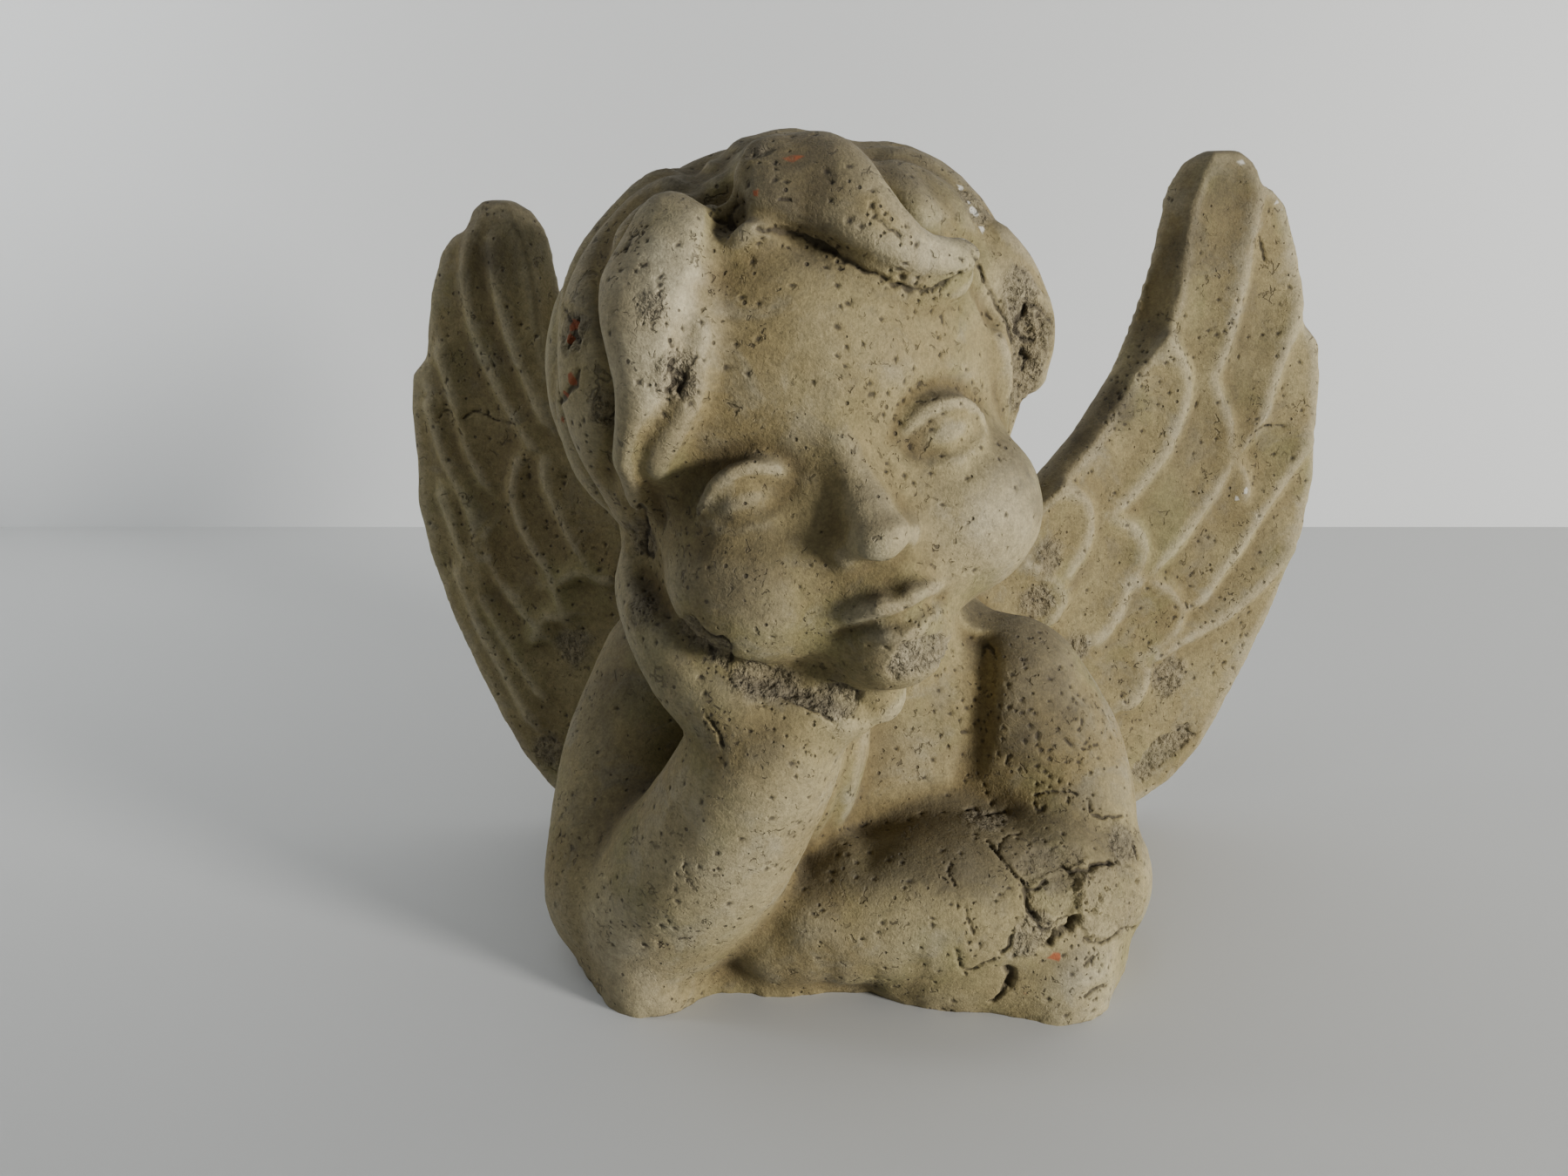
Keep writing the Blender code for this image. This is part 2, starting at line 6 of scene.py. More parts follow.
import bmesh
import bpy
import numpy as np
from mathutils import Euler, Matrix, Vector, noise
from mathutils.bvhtree import BVHTree
from mathutils.kdtree import KDTree

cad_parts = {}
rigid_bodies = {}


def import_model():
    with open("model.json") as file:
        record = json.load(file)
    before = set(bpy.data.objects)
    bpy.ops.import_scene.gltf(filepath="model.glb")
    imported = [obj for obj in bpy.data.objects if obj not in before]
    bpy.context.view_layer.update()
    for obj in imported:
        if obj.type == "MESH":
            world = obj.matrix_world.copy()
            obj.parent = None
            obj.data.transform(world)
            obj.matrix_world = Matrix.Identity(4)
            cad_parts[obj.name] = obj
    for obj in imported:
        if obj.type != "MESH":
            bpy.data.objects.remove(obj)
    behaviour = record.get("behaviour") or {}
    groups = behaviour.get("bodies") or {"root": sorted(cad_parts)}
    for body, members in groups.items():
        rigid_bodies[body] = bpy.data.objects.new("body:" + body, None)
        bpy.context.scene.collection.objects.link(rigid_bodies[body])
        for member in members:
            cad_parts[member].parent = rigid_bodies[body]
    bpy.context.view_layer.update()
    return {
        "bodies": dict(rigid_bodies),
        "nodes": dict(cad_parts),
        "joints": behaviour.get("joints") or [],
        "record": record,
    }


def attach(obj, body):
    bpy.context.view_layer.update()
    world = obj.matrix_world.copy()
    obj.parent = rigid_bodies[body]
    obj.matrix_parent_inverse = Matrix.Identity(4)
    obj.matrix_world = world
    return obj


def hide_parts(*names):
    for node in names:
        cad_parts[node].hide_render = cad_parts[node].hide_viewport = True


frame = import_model()

# Driving dimensions
HEIGHT = 0.250
WING_THICKNESS = 0.017
FEATHER_RELIEF = 0.0038

# Figure unit: the carving below is laid out on a figure 250 units high
UNIT = HEIGHT / 250

# Fineness of the sculpting skin, coarse for the body and fine for what is carved on it, and width of a weld
COARSE = 2.2 * UNIT
FINE = 1.3 * UNIT
WELD = 0.02 * UNIT

# Sculpting: how much of a hollow one pass fills, how far aside a stroke puts skin that it leaves alone, and
# how near the skull's centre strokes over the hair leave the skin alone
CREASE_FILL = 0.8
ASIDE = 1000
HAIR_FLOOR = 40

# Pose of the head: its centre, and how far it turns, nods back and leans on the hand
HEAD_CENTRE = (-18, -27, 173)
HEAD_TURN = math.radians(10)
HEAD_NOD = math.radians(-8)
HEAD_LEAN = math.radians(-16)
SKULL_CENTRE = (2, 9, 12)
SKULL_RADII = (60, 64, 59)

# Wing surface: where it leaves the back, how it sweeps away and how it leans back with height
WING_ROOT = (35, 34)
WING_SWEEP = 0.5
WING_RETURN = 0.0016
WING_LEAN = 0.05
WING_WAIST = 120
LEFT_WING_REACH = 0.905
LEFT_WING_RISE = 0.935
LEFT_WING_LEAN = 0.04

# Wing slab: how far its rim is rounded, the depth over which its front turns into its back, and how it thins
# outwards, as the share lost, where that starts and how far it goes on
WING_ROUNDING = 3
WING_TURN = 6
WING_TAPER = 0.42
TAPER_START = 70
TAPER_LENGTH = 100

# Feathers: width of an edge's steep and gentle sides, how far from the inner edge they fade in, and how much
# of them shows on the back of the wing
EDGE_STEEP = 3
EDGE_GENTLE = 6
FEATHER_FADE = 3
BACK_FEATHERS = 0.4

# Outline of the viewer's right wing, as reach and height
WING_OUTLINE = (
    (30, 20), (30, 96), (48, 118), (65, 136), (80, 152), (93, 172), (101, 191), (107, 215), (109, 231),
    (111, 237), (115, 243.5), (122, 247), (132, 247), (137, 243), (140, 236), (145, 235), (151, 229),
    (157, 214), (160, 201), (162, 190), (169, 183), (171, 169), (171, 151), (173, 133), (170, 112),
    (163, 86), (156, 67), (148, 48), (139, 30), (128, 17), (112, 8), (80, 5),
)

# Raised edges of the feathers on that wing, and the line where its front turns into the thick inner edge
FEATHER_EDGES = (
    ((140, 238), (138, 218), (136, 201), (133, 184), (129, 172)),
    ((159, 197), (155, 181), (152, 170), (148, 156), (140, 143), (132, 129), (121, 113), (107, 99)),
    ((110, 186), (115, 180), (119, 173), (119, 164), (116, 155), (112, 145), (104, 135), (95, 126)),
    ((129, 171), (133, 163), (137, 155), (139, 144)),
    ((168, 148), (163, 139), (157, 129), (151, 120), (146, 110), (140, 102), (132, 91), (124, 87)),
    ((141, 143), (145, 136), (146, 130)),
    ((166, 108), (155, 94), (142, 83), (130, 77), (117, 70)),
    ((74, 137), (83, 132), (86, 124), (84, 114), (78, 105)),
    ((94, 125), (103, 120), (108, 112), (107, 104), (102, 97)),
    ((102, 97), (100, 90), (96, 83), (91, 79)),
    ((112, 100), (121, 94), (125, 85), (121, 77), (112, 71)),
    ((67, 110), (74, 104), (77, 96), (74, 90)),
    ((110, 71), (113, 63), (110, 55), (106, 52)),
)
LEFT_FEATHER_EDGES = (
    ((137, 235), (141, 225), (141, 208), (138, 194), (132, 179), (126, 167), (121, 158)),
    ((130, 232), (129, 215), (126, 200), (121, 184), (115, 169)),
    ((155, 192), (151, 171), (148, 156), (143, 144)),
    ((162, 172), (159, 156), (155, 144), (150, 131), (149, 113), (149, 102)),
    ((128, 152), (131, 140), (127, 124), (119, 110), (115, 94)),
    ((117, 153), (116, 143), (110, 128), (104, 116), (101, 111)),
    ((145, 124), (143, 110), (133, 95), (125, 85)),
    ((117, 105), (106, 111), (95, 109)),
    ((161, 138), (156, 118), (149, 97), (139, 77), (129, 60)),
    ((126, 84), (122, 91), (113, 93)),
    ((158, 107), (151, 85), (142, 66), (134, 48)),
)
WING_SHOULDER = (
    (122, 246), (119, 238), (116, 228), (114.5, 213), (114, 202), (111.5, 190), (106, 181), (98, 170),
    (88, 154), (75, 139), (56, 119), (36, 100),
)
INNER_EDGE_SLOPE = 1.3
INNER_EDGE_LEAST = 4

# Locks of hair over the brow: rows of longitude, latitude and half width on the skull
FRONT_LOCKS = (
    (
        (-12, 37, 6), (-6, 41, 10), (3, 43.5, 12.5), (12, 42.5, 13.5), (17, 36, 12.5), (19, 28, 10.5),
        (22, 21, 8.5), (28, 15.5, 7.5), (35, 13.5, 8), (41, 14, 6.5),
    ),
    (
        (-14, 38, 6), (-22, 41, 9.5), (-29, 37, 12.5), (-33, 28, 14), (-35, 18, 13), (-37, 8, 11),
        (-43, 0, 9), (-51, -7, 7), (-58, -16, 5),
    ),
)
SIDE_LOCKS = (
    ((0, 56, 7), (16, 63, 10), (38, 56, 11), (45, 40, 9.5), (44, 27, 8), (48, 18, 6)),
    ((30, 64, 9), (48, 52, 10), (56, 37, 10), (60, 22, 10), (63, 8, 10), (66, -5, 9)),
    ((58, -8, 8), (63, -20, 10), (66, -34, 9)),
    ((20, 74, 8), (58, 68, 9), (78, 46, 9), (84, 24, 9), (88, 2, 8), (90, -18, 7)),
    ((-24, 58, 7), (-44, 58, 10), (-62, 47, 11), (-68, 32, 12), (-67, 16, 12), (-68, 0, 11), (-73, -20, 9)),
    ((-34, 70, 8), (-68, 64, 11), (-84, 42, 12), (-89, 18, 12), (-89, -6, 11), (-87, -28, 8)),
)
RIGHT_TUFT = ((65, 14, 7), (68, 4, 10), (70, -6, 11), (69, -15, 8))

# Sharp crests and the grooves of the hair: width, height and path
HAIR_CRESTS = (
    (7.0, 3.4, ((-32, 46), (-42, 43), (-45, 36), (-43, 26), (-39, 14), (-41, 4), (-47, -5))),
    (6.5, 2.6, ((-2, 49), (9, 53), (18, 52), (20, 45), (19, 37), (19, 30), (22, 23), (28, 18), (37, 16))),
    (2.4, 1.0, ((28, 12), (34, 9.5), (41, 11), (45, 15))),
)
HAIR_GROOVES = (
    (2.3, 3.6, ((-13, 38), (-17, 31), (-18, 26), (-22, 20), (-26, 14), (-29, 7), (-35, 1), (-44, -6),
                (-56, -22))),
    (1.5, 2.8, ((-13, 37), (-4, 33), (4, 27), (10, 21), (18, 13.5), (27, 9), (34, 8), (42, 10), (47, 15))),
    (4.5, 3.4, ((54, 50), (42, 43), (34, 35), (31, 27), (35, 22), (43, 20), (50, 15))),
    (3.6, 3.6, ((-30, 57), (-46, 56), (-57, 48), (-56, 39), (-53, 29), (-49, 17), (-50, 8), (-57, -1),
                (-65, -9))),
    (4.5, 4.2, ((-12, 39), (-14, 44), (-18, 52), (-23, 60), (-27, 67), (-34, 75))),
    (2.6, 2.0, ((-44, 66), (-66, 60), (-78, 46), (-78, 30), (-76, 16), (-77, 2), (-79, -12), (-80, -26))),
    (2.6, 1.8, ((-8, 50), (4, 59), (24, 63), (46, 54), (56, 42), (60, 30), (58, 20), (60, 10), (66, 2))),
    (2.0, 1.8, ((46, 17), (47, 9), (50, 2), (53, -5), (57, -12), (57, -20), (61, -30), (60, -40))),
    (2.0, 1.2, ((-12, 52), (4, 66), (36, 68), (64, 54), (70, 36), (70, 20))),
    (2.0, 1.3, ((-20, 66), (-52, 72), (-84, 62), (-96, 42), (-99, 20), (-99, 2), (-98, -16))),
)

# Folds where the limbs meet the chest, and worn lines of the hands, as rows of x and z in front view
FOLDS = (
    (5.0, 3.0, -8, ((38, 108), (38, 89), (37, 75), (35, 63))),
    (2.2, 2.4, -30, ((3, 96), (0, 88), (-2, 79), (-4, 69), (-6, 59), (-9, 50))),
    (3.4, 2.2, -20, ((2, 49), (10, 53), (20, 56), (30, 57), (41, 55), (52, 51), (60, 45))),
    (2.6, 3.2, -30, ((-60, 136), (-47, 123), (-33, 116), (-20, 112), (-8, 109), (0, 104))),
    (3.4, 0.8, -40, ((-11, 25), (-9, 15), (-11, 5))),
    (3.4, 0.8, -40, ((16, 22), (17, 13), (14, 5))),
    (3.4, 0.8, -40, ((3, 18), (4, 12), (3, 6))),
)
BACK_LOCK = ((-12, 66, 9), (-2, 44, 12), (6, 20, 13), (-3, -4, 12), (4, -28, 8))
BACK_LOCKS = 8
BACK_LOCK_START = 100
BACK_LOCK_STEP = 23
BACK_GROOVE_START = 111


def in_scene(name, data):
    """A new object, linked to the scene."""
    made = bpy.data.objects.new(name, data)
    bpy.context.scene.collection.objects.link(made)
    return made


def shaped_mesh(thing):
    """The mesh of an object as its settings and modifiers shape it. The object itself goes."""
    graph = bpy.context.evaluated_depsgraph_get()
    mesh = bpy.data.meshes.new_from_object(thing.evaluated_get(graph))
    bpy.data.objects.remove(thing)
    return mesh


def units(values):
    """Figure units as metres."""
    return np.asarray(values, float) * UNIT


def head_frame():
    """Matrix from the head's own axes to the figure's."""
    turn = (
        Matrix.Rotation(HEAD_TURN, 4, "Z")
        @ Matrix.Rotation(HEAD_NOD, 4, "X")
        @ Matrix.Rotation(HEAD_LEAN, 4, "Y")
    )
    return Matrix.Translation(Vector(units(HEAD_CENTRE))) @ turn


HEAD = head_frame()


def sky(longitude, latitude):
    """A direction out of the skull in the head's axes: longitude 0 is the face, 90 the viewer's right."""
    a, b = math.radians(longitude), math.radians(latitude)
    return np.array((math.sin(a) * math.cos(b), -math.cos(a) * math.cos(b), math.sin(b)))


def smooth_path(points, steps=8):
    """A Catmull-Rom curve through rows of numbers, with this many steps between two rows."""
    rows = np.asarray(points, float)
    rows = np.vstack([2 * rows[0] - rows[1], rows, 2 * rows[-1] - rows[-2]])
    made = []
    for a, b, c, d in zip(rows, rows[1:], rows[2:], rows[3:]):
        for t in np.arange(steps) / steps:
            bend = (2 * a - 5 * b + 4 * c - d) * t**2 + (3 * b - a - 3 * c + d) * t**3
            made.append(0.5 * (2 * b + (c - a) * t + bend))
    made.append(rows[-2])
    return np.array(made)


def path_distance(points, path):
    """How far each point is from a path, and on which side of it for flat points."""
    nearest = np.full(len(points), np.inf)
    side = np.zeros(len(points))
    for a, b in zip(path, path[1:]):
        along = b - a
        share = ((points - a) @ along / (along @ along)).clip(0, 1)
        off = points - (a + share[:, None] * along)
        far = np.linalg.norm(off, axis=1)
        closer = far < nearest
        nearest[closer] = far[closer]
        if points.shape[1] == 2:
            side[closer] = np.sign(along[0] * off[closer, 1] - along[1] * off[closer, 0])
    return nearest, side


class Clay:
    """Lumps of clay that are later fused into one skin."""

    def __init__(self):
        self.mesh = bmesh.new()
        self.frame = Matrix.Identity(4)
        ball = bmesh.new()
        bmesh.ops.create_uvsphere(ball, u_segments=24, v_segments=16, radius=1)
        self.ball = bpy.data.meshes.new("ball")
        ball.to_mesh(self.ball)
        ball.free()

    def press(self, shape):
        """One ball of clay, stretched and placed by a matrix."""
        lump = self.ball.copy()
        lump.transform(self.frame @ shape)
        self.mesh.from_mesh(lump)
        bpy.data.meshes.remove(lump)

    def pellet(self, centre, radii, turn=(0, 0, 0)):
        """An ellipsoid; centre and radii in figure units, turn in degrees."""
        tilt = Euler([math.radians(a) for a in turn])
        self.press(Matrix.LocRotScale(Vector(units(centre)), tilt, Vector(units(radii))))

    def roll(self, points, radii, flat=1.0, core=None):
        """A tapered sausage of clay along a smooth path, pressed flat towards the point core."""
        path = smooth_path(np.column_stack([points, radii]))
        for i, (x, y, z, r) in enumerate(path):
            ahead = Vector(path[min(i + 1, len(path) - 1)][:3] - path[max(i - 1, 0)][:3]).normalized()
            out = Vector((x, y, z)) - Vector(core if core else (x, y + 1, z))
            out = (out - out.dot(ahead) * ahead).normalized()
            axes = Matrix((ahead * r, out.cross(ahead) * r, out * r * flat)).transposed()
            self.press(Matrix.Translation(Vector(units((x, y, z)))) @ (axes * UNIT).to_4x4())

    def add(self, mesh):
        self.mesh.from_mesh(mesh)

    def fuse(self, voxel):
        """One closed skin round all of the clay."""
        mesh = bpy.data.meshes.new("clay")
        self.mesh.to_mesh(mesh)
        self.mesh.free()
        bpy.data.meshes.remove(self.ball)
        lump = in_scene("clay", mesh)
        remesh = lump.modifiers.new("Fuse", "REMESH")
        remesh.mode = "VOXEL"
        remesh.voxel_size = voxel
        fused = shaped_mesh(lump)
        bpy.data.meshes.remove(mesh)
        return Skin(fused)


class Skin:
    """A closed skin whose points can be pushed about like soft clay."""

    def __init__(self, mesh):
        self.mesh = mesh
        count = len(mesh.vertices)
        self.points = np.empty(count * 3, np.float32)
        mesh.vertices.foreach_get("co", self.points)
        self.points = self.points.reshape(-1, 3).astype(float)
        edges = np.empty(len(mesh.edges) * 2, np.int32)
        mesh.edges.foreach_get("vertices", edges)
        edges = edges.reshape(-1, 2)
        self.ends = np.concatenate([edges, edges[:, ::-1]])
        self.valence = np.bincount(self.ends[:, 0], minlength=count)

    def write(self):
        self.mesh.vertices.foreach_set("co", self.points.astype(np.float32).ravel())
        self.mesh.update()

    def normals(self):
        self.write()
        found = np.empty(len(self.points) * 3, np.float32)
        self.mesh.vertex_normals.foreach_get("vector", found)
        return found.reshape(-1, 3).astype(float)

    def towards_neighbours(self):
        """How far each point is from the middle of its neighbours."""
        a, b = self.ends.T
        middle = [np.bincount(a, self.points[b, k], len(self.points)) for k in range(3)]
        return np.column_stack(middle) / self.valence[:, None] - self.points

    def fill_creases(self, passes):
        """Fills only what is hollow, so that meeting forms run into each other."""
        for i in range(passes):
            if i % 5 == 0:
                normals = self.normals()
            rise = np.einsum("ij,ij->i", self.towards_neighbours(), normals).clip(0)
            self.points += normals * (CREASE_FILL * rise)[:, None]

    def relax(self, passes, share=0.5):
        """Evens the skin all over."""
        for _ in range(passes):
            self.points += share * self.towards_neighbours()

    def seen_from(self, frame):
        """Each point in the frame's own axes, in figure units."""
        return (self.points - frame.translation) @ np.array(frame.to_3x3()) / UNIT

    def stroke(self, places, path, width, rise):
        """Raises a rounded ridge along a path over flat places, or a groove where rise is negative."""
        far, _ = path_distance(places, smooth_path(path))
        self.points += self.normals() * (rise * UNIT * np.exp(-((far / width) ** 2)))[:, None]

    def front_stroke(self, frame, path, width, rise, front):
        """A stroke drawn in front view, as rows of x and z, on what lies before the plane y = front."""
        x, y, z = self.seen_from(frame).T
        self.stroke(np.column_stack([x, z + np.where(y < front, 0, ASIDE)]), path, width, rise)

    def hair_stroke(self, path, width, rise):
        """A stroke over the skull, as rows of longitude and latitude."""
        out = self.seen_from(HEAD) - SKULL_CENTRE
        size = np.linalg.norm(out, axis=1)
        out = out / size[:, None] * SKULL_RADII[1] + np.where(size < HAIR_FLOOR, ASIDE, 0)[:, None]
        self.stroke(out, [sky(a, b) * SKULL_RADII[1] for a, b in path], width, rise)

    def swell(self, centre, radius, move):
        """Drags a soft round patch of the head by a move, in figure units."""
        middle, move = HEAD @ Vector(units(centre)), HEAD.to_3x3() @ Vector(units(move))
        far = np.linalg.norm(self.points - np.array(middle), axis=1) / (radius * UNIT)
        self.points += np.exp(-(far**2))[:, None] * np.array(move)

    def clay(self):
        """The skin as clay again, to add more to."""
        self.write()
        more = Clay()
        more.add(self.mesh)
        bpy.data.meshes.remove(self.mesh)
        return more


def torso(voxel):
    """Chest, back, shoulders and the upper arms that run down to the elbows."""
    clay = Clay()
    clay.pellet((2, 8, 34), (74, 44, 46))
    clay.pellet((2, 12, 74), (60, 36, 40))
    clay.pellet((0, 26, 84), (50, 24, 40))
    clay.roll([(-58, 6, 84), (-69, -6, 56), (-72, -26, 24)], [25, 26, 27])
    clay.roll([(51, -2, 80), (65, -6, 56), (66, -26, 24)], [25, 25, 26])
    clay.pellet((-63, -46, 4), (17, 17, 28))
    clay.pellet((-61, -27, 6), (28, 29, 32))
    clay.pellet((34, -30, 13), (46, 34, 28))
    clay.pellet((60, -48, 4), (19, 18, 28))
    clay.pellet((60, -27, 5), (29, 30, 30))
    clay.pellet((2, 2, 12), (74, 46, 32))
    clay.pellet((-22, -34, 0), (30, 19, 15))
    skin = clay.fuse(voxel)
    skin.fill_creases(60)
    skin.relax(4)
    return skin


def skull(body, voxel):
    """Neck, skull and the big forms of a plump child's face."""
    clay = body.clay()
    clay.roll([(4, 8, 84), (-8, -8, 124)], [34, 36])
    clay.frame = HEAD
    clay.pellet(SKULL_CENTRE, SKULL_RADII)
    clay.pellet((0, -12, -20), (50, 42, 44))
    clay.pellet((0, -15, -46), (36, 33, 20))
    clay.pellet((0, -16, 14), (49, 38, 42))
    for side in (-1, 1):
        clay.pellet((side * 26.5, -28, -33), (25, 25, 24))
    clay.pellet((0, -40, -59), (16, 16, 12))
    clay.pellet((0, -43, -43), (18, 13, 14))
    skin = clay.fuse(voxel)
    skin.fill_creases(25)
    skin.relax(6)
    for side in (-1, 1):
        skin.swell((side * 22, -50, -8), 13, (0, 3.4, 0))
    return skin


def arms(body, voxel):
    """The folded forearm with its hand, the raised forearm and the hand under the cheek."""
    clay = body.clay()
    clay.roll([(68, -24, 26), (44, -38, 27), (8, -42, 27), (-22, -40, 20)], [27, 27, 24, 20])
    clay.pellet((-6, -50, 27), (22, 15, 15), (0, 12, 0))
    clay.roll([(-60, -36, 24), (-44, -50, 50), (-30, -60, 80), (-25, -62, 92)], [27, 25, 22, 20])
    palm = [(-25, -62, 92), (-34, -60, 103), (-46, -56, 113), (-56, -48, 126), (-60, -38, 142)]
    clay.roll(palm, [19, 18, 15, 12, 9])
    clay.roll([(-28, -62, 98), (-12, -65, 103), (2, -63, 105)], [17, 13, 9])
    clay.pellet((-17, -33, 82), (21, 22, 40))
    skin = clay.fuse(voxel)
    skin.fill_creases(8)
    skin.relax(3)
    return skin


def lay_lock(clay, path, lift, flat=0.6):
    """A lock of hair laid on the skull."""
    points = [SKULL_CENTRE + sky(a, b) * (np.array(SKULL_RADII) + lift) for a, b, _ in path]
    clay.roll(points, [r for _, _, r in path], flat, core=SKULL_CENTRE)


def hair_and_features(body, voxel):
    """The cap of hair with its locks, the nose, lips and eyes."""
    clay = body.clay()
    clay.frame = HEAD
    clay.pellet((3, 16, 15), (62, 63, 60))
    clay.pellet((31, 3, 26), (38, 40, 40))
    clay.pellet((14, 4, 30), (40, 40, 42))
    for path in FRONT_LOCKS:
        lay_lock(clay, path, 2, 0.75)
    for path in SIDE_LOCKS:
        lay_lock(clay, path, 0)
    lay_lock(clay, RIGHT_TUFT, 6, 0.8)
    for i in range(BACK_LOCKS):
        turn = BACK_LOCK_START + BACK_LOCK_STEP * i
        lay_lock(clay, [(turn + a, b, r) for a, b, r in BACK_LOCK], 0)
    clay.roll([(0, -46, 2), (0, -50, -12), (0, -55, -24)], [7, 6, 7])
    clay.pellet((0, -57, -28), (8, 8, 6.5))
    for side in (-1, 1):
        clay.pellet((side * 6.5, -52, -30), (5, 6, 4.5))
        clay.pellet((side * 25, -36, -11), (11.5, 13.6, 7))
        lid = [(12.5, -45.5, -12), (18, -48, -6), (25, -48.6, -3.8), (32, -46.4, -5.5), (38, -41.5, -11)]
        clay.roll([(side * x, y, z) for x, y, z in lid], [1.2, 2.2, 2.6, 2.2, 1.2])
        lid = [(13, -45.5, -13), (19, -47.5, -17), (26, -47.8, -18.2), (33, -45, -16.5), (38, -41.5, -12)]
        clay.roll([(side * x, y, z) for x, y, z in lid], [1.0, 1.8, 2.0, 1.8, 1.0])
    upper_lip = [(-11, -52, -46), (-4, -57, -44.5), (0, -56.5, -45), (4, -57, -44.5), (11, -52, -46)]
    clay.roll(upper_lip, [2, 3.4, 3, 3.4, 2])
    clay.roll([(-9, -52, -51), (0, -56, -52), (9, -52, -51)], [2.2, 4, 2.2])
    skin = clay.fuse(voxel)
    skin.fill_creases(5)
    skin.relax(1)
    for side in (-1, 1):
        crease = [(side * a, b) for a, b in ((12, -8), (17, -1.5), (25, 1.5), (33, -0.5), (40, -8))]
        skin.front_stroke(HEAD, crease, 1.8, -1.4, -20)
        slit = [(side * a, b) for a, b in ((14, -11.5), (19, -8.2), (25, -6.8), (31, -8), (36.5, -11.5))]
        skin.front_stroke(HEAD, slit, 1.2, -1.1, -20)
        slit = [(side * a, b) for a, b in ((14, -12.5), (20, -14.6), (26, -15.4), (32, -14.4), (37, -12.5))]
        skin.front_stroke(HEAD, slit, 1.1, -0.8, -20)
        skin.swell((side * 4, -58, -35), 2.6, (0, 1, 2.6))
    skin.front_stroke(HEAD, ((-14, -49.6), (-6, -48.2), (0, -49), (6, -48.2), (14, -49.6)), 1.6, -2.4, -35)
    skin.front_stroke(HEAD, ((0, -37), (0, -42)), 2.2, -1, -45)
    for width, height, path in HAIR_CRESTS:
        skin.hair_stroke(path, width, height)
    for width, depth, path in HAIR_GROOVES:
        skin.hair_stroke(path, width, -depth)
    for i in range(BACK_LOCKS):
        turn = BACK_GROOVE_START + BACK_LOCK_STEP * i
        skin.hair_stroke([(turn + a, b) for a, b, _ in BACK_LOCK], 2.2, -1.6)
    for width, depth, front, path in FOLDS:
        skin.front_stroke(Matrix.Identity(4), path, width, -depth, front)
    return skin


def wing_depth(p, q):
    """How far back the middle of the wing is, at reach p and height q."""
    away = np.clip(p - WING_ROOT[0], 0, None)
    return WING_ROOT[1] + WING_SWEEP * away - WING_RETURN * away**2 + WING_LEAN * (q - WING_WAIST)


def feather_relief(places, edges):
    """Height of the feathers' raised edges at flat places on the wing, in figure units."""
    height = np.zeros(len(places))
    for edge in edges:
        far, turned = path_distance(places, smooth_path(edge))
        step, vane = np.exp(-((far / EDGE_STEEP) ** 2)), 1 / (1 + (far / EDGE_GENTLE) ** 2)
        height = np.maximum(height, np.where(turned > 0, step, vane))
    return height * FEATHER_RELIEF / UNIT


def wing(side, reach, rise, lean, edges, voxel):
    """A wing: a slab cut to the outline, feathered on its front, then bent back."""
    round_over = WING_ROUNDING * UNIT
    outline = bpy.data.curves.new("wing outline", "CURVE")
    outline.dimensions = "2D"
    outline.fill_mode = "BOTH"
    outline.extrude = WING_THICKNESS / 2 - round_over
    outline.bevel_depth = round_over
    outline.bevel_resolution = 2
    outline.offset = -round_over
    spline = outline.splines.new("POLY")
    spline.points.add(len(WING_OUTLINE) - 1)
    for point, (p, q) in zip(spline.points, WING_OUTLINE):
        point.co = (p * UNIT, q * UNIT, 0, 1)
    spline.use_cyclic_u = True
    slab = Clay()
    slab.add(shaped_mesh(in_scene("wing outline", outline)))
    bmesh.ops.remove_doubles(slab.mesh, verts=slab.mesh.verts, dist=WELD)
    skin = slab.fuse(voxel)
    skin.relax(2)
    p, q, depth = skin.points.T / UNIT
    depth = -depth
    places = np.column_stack([p, q])
    front = np.clip(0.5 - depth / WING_TURN, 0, 1)
    taper = 1 - WING_TAPER * np.clip((p - TAPER_START) / TAPER_LENGTH, 0, 1)
    depth *= taper
    far, turned = path_distance(places, smooth_path(WING_SHOULDER))
    inner = np.where(turned > 0, 0, far)
    depth += front * np.minimum(INNER_EDGE_SLOPE * inner, WING_THICKNESS / UNIT * taper - INNER_EDGE_LEAST)
    relief = feather_relief(places, edges) * np.clip(1 - inner / FEATHER_FADE, 0, 1)
    depth += relief * np.where(front > 0.5, -front, BACK_FEATHERS * (1 - front))
    p, q = p * reach + lean * (q - WING_WAIST), q * rise
    skin.points = units(np.column_stack([side * p, wing_depth(p, q) + depth, q]))
    skin.write()
    if side > 0:
        skin.mesh.flip_normals()
    return skin.mesh


def wings(body, voxel):
    """Both wings, grown out of the back."""
    clay = body.clay()
    clay.add(wing(1, 1, 1, 0, FEATHER_EDGES, voxel))
    clay.add(wing(-1, LEFT_WING_REACH, LEFT_WING_RISE, LEFT_WING_LEAN, LEFT_FEATHER_EDGES, voxel))
    skin = clay.fuse(voxel)
    skin.fill_creases(3)
    return skin


def sculpt(coarse, fine):
    """The whole figure as one closed mesh, before its underside is cut flat."""
    body = torso(coarse)
    body = skull(body, coarse)
    body = arms(body, fine)
    body = hair_and_features(body, fine)
    body = wings(body, fine)
    body.write()
    return body.mesh


# The photograph's view: where it is taken from, how far it looks down, focal length and size in pixels
VIEW_POINT = (-22, -351, 228)
VIEW_PITCH = math.radians(18)
FOCAL = 1338
PICTURE = (1800, 1350)

# Finished skin: triangles it keeps, angle of a sharp edge, how far round cracks and broken patches it is
# made finer, and how many pixels of the picture a figure unit takes
SKIN_TRIANGLES = 197000
SHARP_ANGLE = math.radians(80)
FINER_NEAR = 3.5
PATCH_MARGIN = 1
PIXELS_A_UNIT = 5

